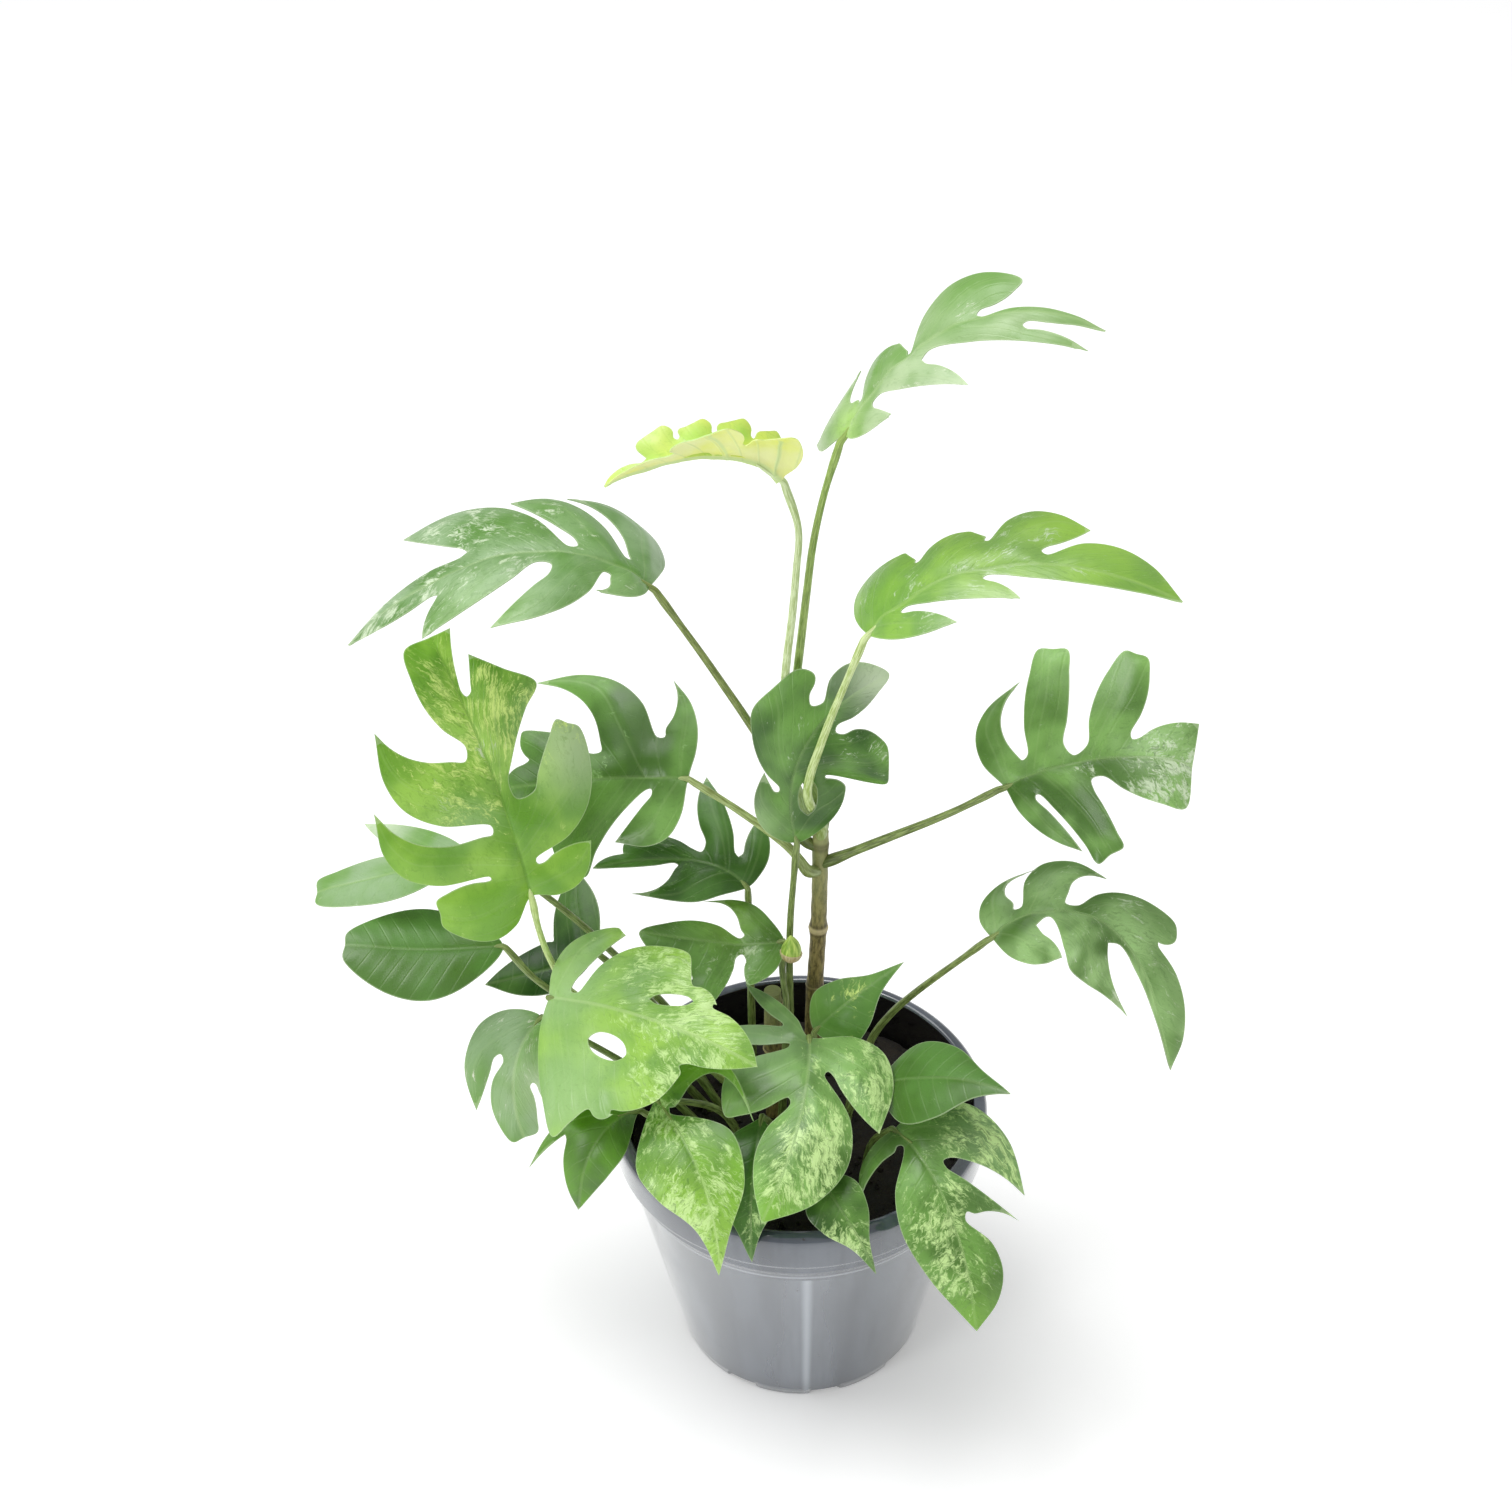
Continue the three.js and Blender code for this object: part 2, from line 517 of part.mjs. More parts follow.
function footNotches() {
  const tools = [];
  for (let i = 0; i < FOOT_NOTCH.count; i++) {
    const turn = (i * 2 * Math.PI) / FOOT_NOTCH.count - Math.PI / 2 + THREE.MathUtils.degToRad(FOOT_NOTCH.turn);
    const box = new THREE.BoxGeometry(FOOT_NOTCH.depth, FOOT_NOTCH.width, 2 * FOOT_NOTCH.height);
    box.translate(POT.footRadius, 0, 0);
    tools.push(box.rotateZ(turn));
  }
  return tools;
}

function drainHoles() {
  const tools = [];
  for (let i = 0; i < DRAIN.count; i++) {
    const turn = (i * 2 * Math.PI) / DRAIN.count;
    const drill = new THREE.CylinderGeometry(DRAIN.radius, DRAIN.radius, DRAIN.drill, DRAIN.sides);
    drill.rotateX(Math.PI / 2);
    drill.translate(DRAIN.ring * Math.cos(turn), DRAIN.ring * Math.sin(turn), 0);
    tools.push(drill);
  }
  return tools;
}

function pot() {
  return solid("pot", carve(potShell(), [...footNotches(), ...drainHoles()]), 0x8a8f9a, 0.35);
}

// ---------- Soil ----------
function soilRadius(z) {
  const p = POT;
  const share = (z - p.floorTop) / (p.stepHeight - p.floorTop);
  const foot = p.footRadius - p.wall;
  const round = 1 / Math.cos(Math.PI / p.sides);
  return (foot + Math.min(share, 1) * (p.bodyTopRadius - p.wall - foot)) / round - SOIL.gap;
}

function soilWave(x, y) {
  const w = SOIL_WAVE;
  return Math.sin(x * w.x + w.shift) * Math.cos(y * w.y) + w.slow * Math.sin(x * w.slowX + y * w.slowY);
}

function soil(feet) {
  const top = SOIL_TOP;
  const bottom = POT.floorTop + SOIL.gap;
  const topRadius = soilRadius(top);
  const profile = [
    [0, bottom],
    [soilRadius(bottom) - SOIL.foot, bottom],
    [soilRadius(bottom + SOIL.foot) - SOIL.footIn, bottom + SOIL.foot],
    [topRadius, top - SOIL.edge],
  ];
  for (const share of SOIL_RINGS) {
    profile.push([topRadius * share * SOIL.inset, top]);
  }
  const plug = new THREE.LatheGeometry(
    profile.map(([radius, z]) => new THREE.Vector2(radius, z)),
    SOIL.sides,
  );
  plug.rotateX(Math.PI / 2);
  const place = plug.getAttribute("position");
  for (let i = 0; i < place.count; i++) {
    if (place.getZ(i) < top - SOIL.edge / 2) {
      continue;
    }
    place.setZ(i, top + SOIL.bump * soilWave(place.getX(i), place.getY(i)));
  }
  const sockets = feet.map(({ foot, next, radius }) => socket(foot, next, radius));
  return solid("soil", carve(plug, sockets), 0x2c2019, 0.95);
}

// The hole in the soil round a stem's foot, a little wider than the stem.
function socket(foot, next, radius) {
  const along = next.clone().sub(foot).normalize();
  const low = foot.clone().addScaledVector(along, -SOCKET.under);
  const high = foot.clone().addScaledVector(along, SOCKET.reach);
  return bentRod([low, high], () => radius + SOCKET.gap, SOCKET.sides, 1);
}

// ---------- Stems and stalks ----------
function stemRadius(stem, share) {
  let radius = stem.foot + (stem.top - stem.foot) * share;
  for (const joint of stem.joints) {
    radius += STEM.ring * Math.exp(-(((share - joint) / STEM.ringWidth) ** 2));
  }
  return radius;
}

function stemMesh(stem) {
  const rod = bentRod(points(stem.path), (share) => stemRadius(stem, share), STEM.sides, STEM.steps);
  return solid(stem.name, rod, STEM_BROWN, 0.6);
}

function stalkRadius(share) {
  return STALK.foot + (STALK.top - STALK.foot) * Math.min(1, share * STALK.slim);
}

function stalkPath(leaf) {
  const path = points(STALKS[leaf.name].path);
  const base = new THREE.Vector3(...leaf.rib[0]);
  const from = path[path.length - 1];
  const run = base.clone().sub(from);
  path.push(from.clone().addScaledVector(run, 1 - (STALK_GAP + SKIN.rib) / run.length()));
  return path;
}

function stalkMesh(leaf) {
  const rod = bentRod(stalkPath(leaf), stalkRadius, STALK.sides, STALK.steps);
  return solid("petiole_" + leaf.name, rod, STALK_GREEN, 0.5);
}

function bud() {
  const [x, y, z] = BUD.at;
  const shape = new THREE.LatheGeometry(
    BUD_OUTLINE.map(([r, h]) => new THREE.Vector2(r * BUD.radius, h * BUD.height)),
    BUD.sides,
  );
  shape.rotateX(Math.PI / 2);
  shape.translate(x, y, z);
  return solid("bud", welded(shape), LIME, 0.5);
}

// ---------- Leaf blades ----------
// The midrib is a parabola through its three points, and runs on straight past its ends.
function ribAt(leaf, u) {
  const [base, middle, tip] = points(leaf.rib);
  const c = THREE.MathUtils.clamp(u, 0, 1);
  const spot = new THREE.Vector3()
    .addScaledVector(base, (1 - c) * (1 - 2 * c))
    .addScaledVector(middle, 4 * c * (1 - c))
    .addScaledVector(tip, c * (2 * c - 1));
  const slope = new THREE.Vector3()
    .addScaledVector(base, 4 * c - 3)
    .addScaledVector(middle, 4 - 8 * c)
    .addScaledVector(tip, 4 * c - 1);
  spot.addScaledVector(slope, u - c);
  return { spot, along: slope.normalize() };
}

function bladeLength(leaf) {
  const [base, , tip] = points(leaf.rib);
  return base.distanceTo(tip);
}

// A point of the flat blade, in blade lengths, carried onto the cupped and curled one in mm.
// side is 1 for the left half and -1 for the right.
function onBlade(leaf, side, { u, v, lift }) {
  const { spot, along } = ribAt(leaf, u);
  const left = new THREE.Vector3(...leaf.face).cross(along).normalize();
  const up = along.clone().cross(left);
  const half = side > 0 ? 0 : 1;
  const cup = THREE.MathUtils.degToRad(leaf.cup[half]);
  const curl = THREE.MathUtils.degToRad(leaf.curl[half]);
  let out = v * Math.cos(cup);
  let rise = v * Math.sin(cup);
  if (Math.abs(curl) > 1e-3) {
    out = (Math.sin(cup + curl * v) - Math.sin(cup)) / curl;
    rise = (Math.cos(cup) - Math.cos(cup + curl * v)) / curl;
  }
  const length = bladeLength(leaf);
  return spot
    .addScaledVector(left, side * out * length)
    .addScaledVector(up, (rise + lift) * length);
}

// How far an edge bows out at each share of its length: fullest half way, or nearer the base.
const evenBow = (share) => 4 * share * (1 - share);
const ovateBow = (share) => 6.75 * share * (1 - share) ** 2;

// Points along one edge of a lobe, from where the gap beside it opens out to the lobe's tip.
// swell is how far the edge bows out of the straight line; way is 1 on a forward edge, -1 on a rear one.
function edgePoints(from, to, swell, way, bow = evenBow) {
  const run = to.clone().sub(from);
  const outward = new THREE.Vector2(run.y, -run.x).normalize().multiplyScalar(way);
  return EDGE_STOPS.map((stop) =>
    from.clone().addScaledVector(run, stop).addScaledVector(outward, swell * bow(stop)),
  );
}

// The rounded bottom of a gap, as the edge comes in from the rear lobe and goes out to the forward one.
function gapBottom(gap, rearTip, frontTip) {
  const [u, v, wide] = gap;
  const deep = new THREE.Vector2(u, v);
  const axis = rearTip.clone().add(frontTip).multiplyScalar(0.5).sub(deep).normalize();
  const across = new THREE.Vector2(axis.y, -axis.x);
  const radius = wide / 2;
  const round = (turn) => {
    const back = radius * (1 - Math.cos(turn));
    return deep.clone().addScaledVector(axis, back).addScaledVector(across, radius * Math.sin(turn));
  };
  return [-Math.PI / 2, 0, Math.PI / 2].map(round);
}

// The ends of a lobe's edges: one point, or two when its end is squared.
function lobeCorners(lobe) {
  const tip = new THREE.Vector2(...lobe.tip);
  const half = (lobe.square ?? 0) / 2;
  if (half === 0) {
    return [tip];
  }
  const lean = lobe.lean ?? 0;
  const along = tip.clone().sub(new THREE.Vector2(lobe.root, 0)).normalize();
  const across = new THREE.Vector2(along.y, -along.x).addScaledVector(along, -lean);
  return [tip.clone().addScaledVector(across, -half), tip.clone().addScaledVector(across, half)];
}

// An oval hole in the blade, between two points of the flat blade.
function holeRing([from, to, wide]) {
  const start = new THREE.Vector2(...from);
  const half = new THREE.Vector2(...to).sub(start).multiplyScalar(0.5);
  const centre = start.add(half);
  const across = new THREE.Vector2(-half.y, half.x).normalize().multiplyScalar(wide / 2);
  const ring = [];
  for (let i = 0; i < HOLE_SIDES; i++) {
    const turn = (i * 2 * Math.PI) / HOLE_SIDES;
    const spot = centre.clone().addScaledVector(half, Math.cos(turn)).addScaledVector(across, Math.sin(turn));
    ring.push({ u: spot.x, v: spot.y, lift: 0, skin: SKIN.edge });
  }
  return ring;
}

function inside(ring, { u, v }) {
  let odd = false;
  for (let i = 0; i < ring.length; i++) {
    const a = ring[i];
    const b = ring[(i + 1) % ring.length];
    if (a.v > v !== b.v > v && u < ((b.u - a.u) * (v - a.v)) / (b.v - a.v) + a.u) {
      odd = !odd;
    }
  }
  return odd;
}

// One half of the blade as flat polygons, each between two neighbouring veins and the rib.
function sectors(leaf, side, ribPoints) {
  const lobes = side > 0 ? leaf.left : leaf.right;
  const endSwell = leaf.end.swell[side > 0 ? 0 : 1];
  const endEdge = new THREE.Vector2(1, leaf.end.square ? leaf.end.square[side > 0 ? 0 : 1] : 0);
  const corners = [...lobes.map((lobe) => lobeCorners(lobe)), [endEdge]];
  const outer = (spot, lobe, share = 0) => ({
    u: spot.x,
    v: spot.y,
    lift: (lobe?.lift ?? 0) * share * share,
    skin: SKIN.edge,
  });
  const between = (from, to) => ribPoints.filter(({ u }) => u >= from - 1e-6 && u <= to + 1e-6);
  const polygons = [];
  let rearShoulder = new THREE.Vector2(0, 0);
  let rearPart = [];
  let before = { root: 0, spine: [] };
  lobes.forEach((lobe, i) => {
    const [rearCorner] = corners[i];
    const frontCorner = corners[i][corners[i].length - 1];
    const bottom = gapBottom(lobe.gap, frontCorner, corners[i + 1][0]);
    const rearEdge = edgePoints(rearShoulder, rearCorner, lobe.swell[0], -1);
    const frontEdge = edgePoints(bottom[0], frontCorner, lobe.swell[1], 1);
    const [, middle, far] = rearEdge.map((spot, k) => spot.clone().lerp(frontEdge[k], 0.5));
    const near = new THREE.Vector2(lobe.root, 0).lerp(middle, 0.5);
    const veinSpots = [near, middle, far];
    const tip = outer(new THREE.Vector2(...lobe.tip), lobe, 1);
    const spine = veinSpots.map((spot, k) => ({
      u: spot.x,
      v: spot.y,
      lift: ((lobe.lift ?? 0) * (k + 1) ** 2) / 16,
      skin: SKIN.vein,
    }));
    spine.push(tip);
    const square = corners[i].length > 1;
    const rear = rearEdge.map((spot, k) => outer(spot, lobe, EDGE_STOPS[k]));
    const front = frontEdge.map((spot, k) => outer(spot, lobe, EDGE_STOPS[k]));
    const rearTip = square ? [outer(rearCorner, lobe, 1)] : [];
    const frontTip = square ? [outer(frontCorner, lobe, 1)] : [];
    polygons.push([
      ...between(before.root, lobe.root),
      ...spine,
      ...rearTip,
      ...rear.reverse(),
      ...rearPart,
      ...before.spine.slice().reverse(),
    ]);
    rearPart = [...bottom.map((spot) => outer(spot)).reverse(), ...front, ...frontTip];
    rearShoulder = bottom[bottom.length - 1];
    before = { root: lobe.root, spine };
  });
  const endBow = leaf.end.ovate ? ovateBow : evenBow;
  const endPoints = edgePoints(rearShoulder, endEdge, endSwell, -1, endBow).map((spot) => outer(spot));
  polygons.push([
    ...between(before.root, 1),
    ...(leaf.end.square ? [outer(endEdge)] : []),
    ...endPoints.reverse(),
    ...rearPart,
    ...before.spine.slice().reverse(),
  ]);
  return polygons;
}

// The upper skin's points and triangles, in both halves.
function skinOf(leaf) {
  const roots = [0, 1];
  for (const { root } of [...leaf.left, ...leaf.right, leaf.end]) {
    roots.push(root);
  }
  for (let u = 0.1; u < 0.95; u += 0.1) {
    if (roots.every((root) => Math.abs(root - u) > 0.045)) {
      roots.push(u);
    }
  }
  const ribPoints = [...new Set(roots)]
    .sort((a, b) => a - b)
    .map((u) => ({ u, v: 0, lift: 0, skin: u === 1 ? SKIN.edge : SKIN.rib }));
  const spots = [];
  const triangles = [];
  const number = new Map();
  const indexOf = (point, side) => {
    if (!number.has(point)) {
      number.set(point, spots.length);
      spots.push({ at: onBlade(leaf, side, point), skin: point.skin });
    }
    return number.get(point);
  };
  for (const side of [1, -1]) {
    const holes = (leaf.holes?.[side > 0 ? "left" : "right"] ?? []).map(holeRing);
    for (const polygon of sectors(leaf, side, ribPoints)) {
      const cut = holes.filter((ring) => inside(polygon, ring[0]));
      const all = [polygon, ...cut].flat();
      const flat = (ring) => ring.map(({ u, v }) => new THREE.Vector2(u, v));
      for (const [a, b, c] of THREE.ShapeUtils.triangulateShape(flat(polygon), cut.map(flat))) {
        const [p, q, r] = [all[a], all[b], all[c]];
        const turn = (q.u - p.u) * (r.v - p.v) - (q.v - p.v) * (r.u - p.u);
        const corners = [p, q, r].map((point) => indexOf(point, side));
        if (turn * side < 0) {
          corners.reverse();
        }
        triangles.push(corners);
      }
    }
  }
  return { spots, triangles };
}

function skinNormals(spots, triangles) {
  const normals = spots.map(() => new THREE.Vector3());
  for (const [a, b, c] of triangles) {
    const face = spots[b].at.clone().sub(spots[a].at).cross(spots[c].at.clone().sub(spots[a].at));
    for (const corner of [a, b, c]) {
      normals[corner].add(face);
    }
  }
  return normals.map((normal) => normal.normalize());
}

// The closed blade: the upper skin, the lower one a skin's thickness beneath, and the rim between them.
function blade(leaf) {
  const { spots, triangles } = skinOf(leaf);
  const normals = skinNormals(spots, triangles);
  const count = spots.length;
  const place = [];
  for (const { at } of spots) {
    place.push(at.x, at.y, at.z);
  }
  spots.forEach(({ at, skin }, i) => {
    const low = at.clone().addScaledVector(normals[i], -skin);
    place.push(low.x, low.y, low.z);
  });
  const faces = [];
  const open = new Map();
  for (const [a, b, c] of triangles) {
    faces.push(a, b, c, c + count, b + count, a + count);
    for (const [from, to] of [[a, b], [b, c], [c, a]]) {
      if (!open.delete(to + "," + from)) {
        open.set(from + "," + to, [from, to]);
      }
    }
  }
  for (const [from, to] of open.values()) {
    faces.push(from, from + count, to, to, from + count, to + count);
  }
  const geometry = new THREE.BufferGeometry();
  geometry.setAttribute("position", new THREE.Float32BufferAttribute(place, 3));
  geometry.setIndex(faces);
  return solid("leaf_" + leaf.name, geometry, leaf.colour, 0.4);
}

// ---------- The plant ----------
// Every stem or stalk that starts inside the soil needs a socket there.
function feetInSoil() {
  const feet = [];
  for (const stem of STEMS) {
    const [foot, next] = points(stem.path);
    feet.push({ foot, next, radius: stem.foot });
  }
  for (const { path } of Object.values(STALKS)) {
    const [foot, next] = points([...path, path[0]]);
    if (foot.z < SOIL_TOP) {
      feet.push({ foot, next, radius: STALK.foot });
    }
  }
  return feet;
}

const plant = new THREE.Group();
plant.name = "potted_mini_monstera";
plant.add(pot(), soil(feetInSoil()), bud());
for (const stem of STEMS) {
  plant.add(stemMesh(stem));
}
for (const leaf of LEAVES) {
  plant.add(blade(leaf), stalkMesh(leaf));
}

export default plant;
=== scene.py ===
"""Potted mini monstera: the looks of the plant and its pot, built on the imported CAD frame.

Every leaf, stalk and stem is rebuilt from its CAD node: the leaf's outline, midrib and veins are read
from the node's mesh, smoothed, filled with fine triangles and given relief, thickness and a waxy skin.
Lengths are in metres.
"""

import json
import math

import bpy
import numpy as np
from mathutils import Matrix, Vector, noise
from mathutils.geometry import delaunay_2d_cdt

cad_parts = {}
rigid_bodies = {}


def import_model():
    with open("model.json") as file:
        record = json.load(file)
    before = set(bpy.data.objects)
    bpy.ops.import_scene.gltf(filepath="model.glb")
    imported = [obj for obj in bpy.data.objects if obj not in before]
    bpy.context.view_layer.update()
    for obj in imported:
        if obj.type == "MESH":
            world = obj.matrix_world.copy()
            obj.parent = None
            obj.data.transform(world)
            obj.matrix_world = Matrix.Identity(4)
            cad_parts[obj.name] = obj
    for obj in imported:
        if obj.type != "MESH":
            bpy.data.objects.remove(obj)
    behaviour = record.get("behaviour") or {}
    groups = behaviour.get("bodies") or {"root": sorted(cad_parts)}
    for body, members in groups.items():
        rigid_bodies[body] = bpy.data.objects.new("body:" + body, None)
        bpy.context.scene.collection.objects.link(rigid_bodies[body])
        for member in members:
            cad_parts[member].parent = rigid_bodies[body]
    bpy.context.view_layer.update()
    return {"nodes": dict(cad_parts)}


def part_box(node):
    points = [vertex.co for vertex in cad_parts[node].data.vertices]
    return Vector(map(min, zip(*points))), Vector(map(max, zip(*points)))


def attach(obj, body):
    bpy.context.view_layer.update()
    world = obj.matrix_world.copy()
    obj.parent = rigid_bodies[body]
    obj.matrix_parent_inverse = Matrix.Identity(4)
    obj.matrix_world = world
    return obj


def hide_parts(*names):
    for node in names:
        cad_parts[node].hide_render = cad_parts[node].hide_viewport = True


for thing in list(bpy.data.objects):
    bpy.data.objects.remove(thing)
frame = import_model()

MM = 0.001

# ---------- The camera ----------
CAMERA = {
    "at": (0.0, -0.605, 0.718), "lens": 50.0, "sensor": 36.0,
    "yaw": math.radians(-1.34), "pitch": math.radians(35.42), "roll": math.radians(-1.29),
}

# ---------- Leaf blades ----------
SKIN_RIB = 1.2 * MM  # CAD blades thicker than this are the midrib, and than SKIN_VEIN a lobe's vein
SKIN_VEIN = 0.6 * MM
CORNER_TURN = math.radians(95)
OUTLINE_STEP = 1.1 * MM
LATTICE_STEP = 1.9 * MM
RIB_TRACKS = (0.7 * MM, 1.6 * MM)
BLADE_THICK = 0.38 * MM
SIDE_VEINS = 6.5 * MM
TO_FILL = 1000  # the filling works in millimetres
EDGE_CURL = 13 * MM
EDGE_DROOP = 2.2 * MM
# Each as a depth and a width: the furrow and the broad valley over the midrib, the furrow over a lobe's
# vein, and how the blade swells under both.
RIB_FURROW = (0.6 * MM, 1.0 * MM)
RIB_VALLEY = (0.7 * MM, 5.0 * MM)
VEIN_FURROW = (0.25 * MM, 0.8 * MM)
RIB_SWELL = (1.3 * MM, 1.1 * MM)
VEIN_SWELL = (0.35 * MM, 0.7 * MM)
RIPPLE = 0.1 * MM
RIPPLE_CLEAR = 2.5 * MM  # the side veins' ripple fades out this close to the midrib
VEIN_END = 0.93  # the share of a lobe's length that its vein runs
FLOW_SLANT = 0.6


def srgb(text):
    """A linear colour from six hexadecimal digits."""
    parts = [int(text[i : i + 2], 16) / 255 for i in (0, 2, 4)]
    return tuple(c / 12.92 if c < 0.04045 else ((c + 0.055) / 1.055) ** 2.4 for c in parts)


# The greens that the leaves share, from the deepest to the palest, and then the yellower limes.
GREENS = {
    "night": "204808", "bottle": "386020", "forest": "487028", "moss": "507830", "grass": "588838",
    "leaf": "70a048", "fresh": "88b860", "soft": "a0c880", "sage": "90b080", "mist": "b8d0a0",
    "milk": "d8e8c8", "ivory": "f0f0e0", "lime_deep": "609820", "lime": "80b838", "lime_light": "98c848",
    "lime_pale": "b0e060", "lime_mist": "d0f0a0", "straw": "d8f088", "butter": "e8f070",
}


def look(greens, rib, patches=(), flecks=(), cream=(), all_over=0.0):
    """What a leaf looks like.

    greens: its dark, middle and light green. rib: how strong its midrib is, pale above zero, dark below.
    patches: another green as (share of the length along the rib, share out to the left, size, green,
    strength). flecks, of the light green, and cream: (along, out to the left, size, density).
    all_over: how dense the flecks are over the whole leaf.
    """
    everywhere = [(0.5, 0, 9, all_over)] if all_over else []
    return {
        "greens": [srgb(GREENS[key]) for key in greens.split()], "rib": rib, "patches": patches,
        "flecks": [*flecks, *everywhere], "cream": cream,
    }


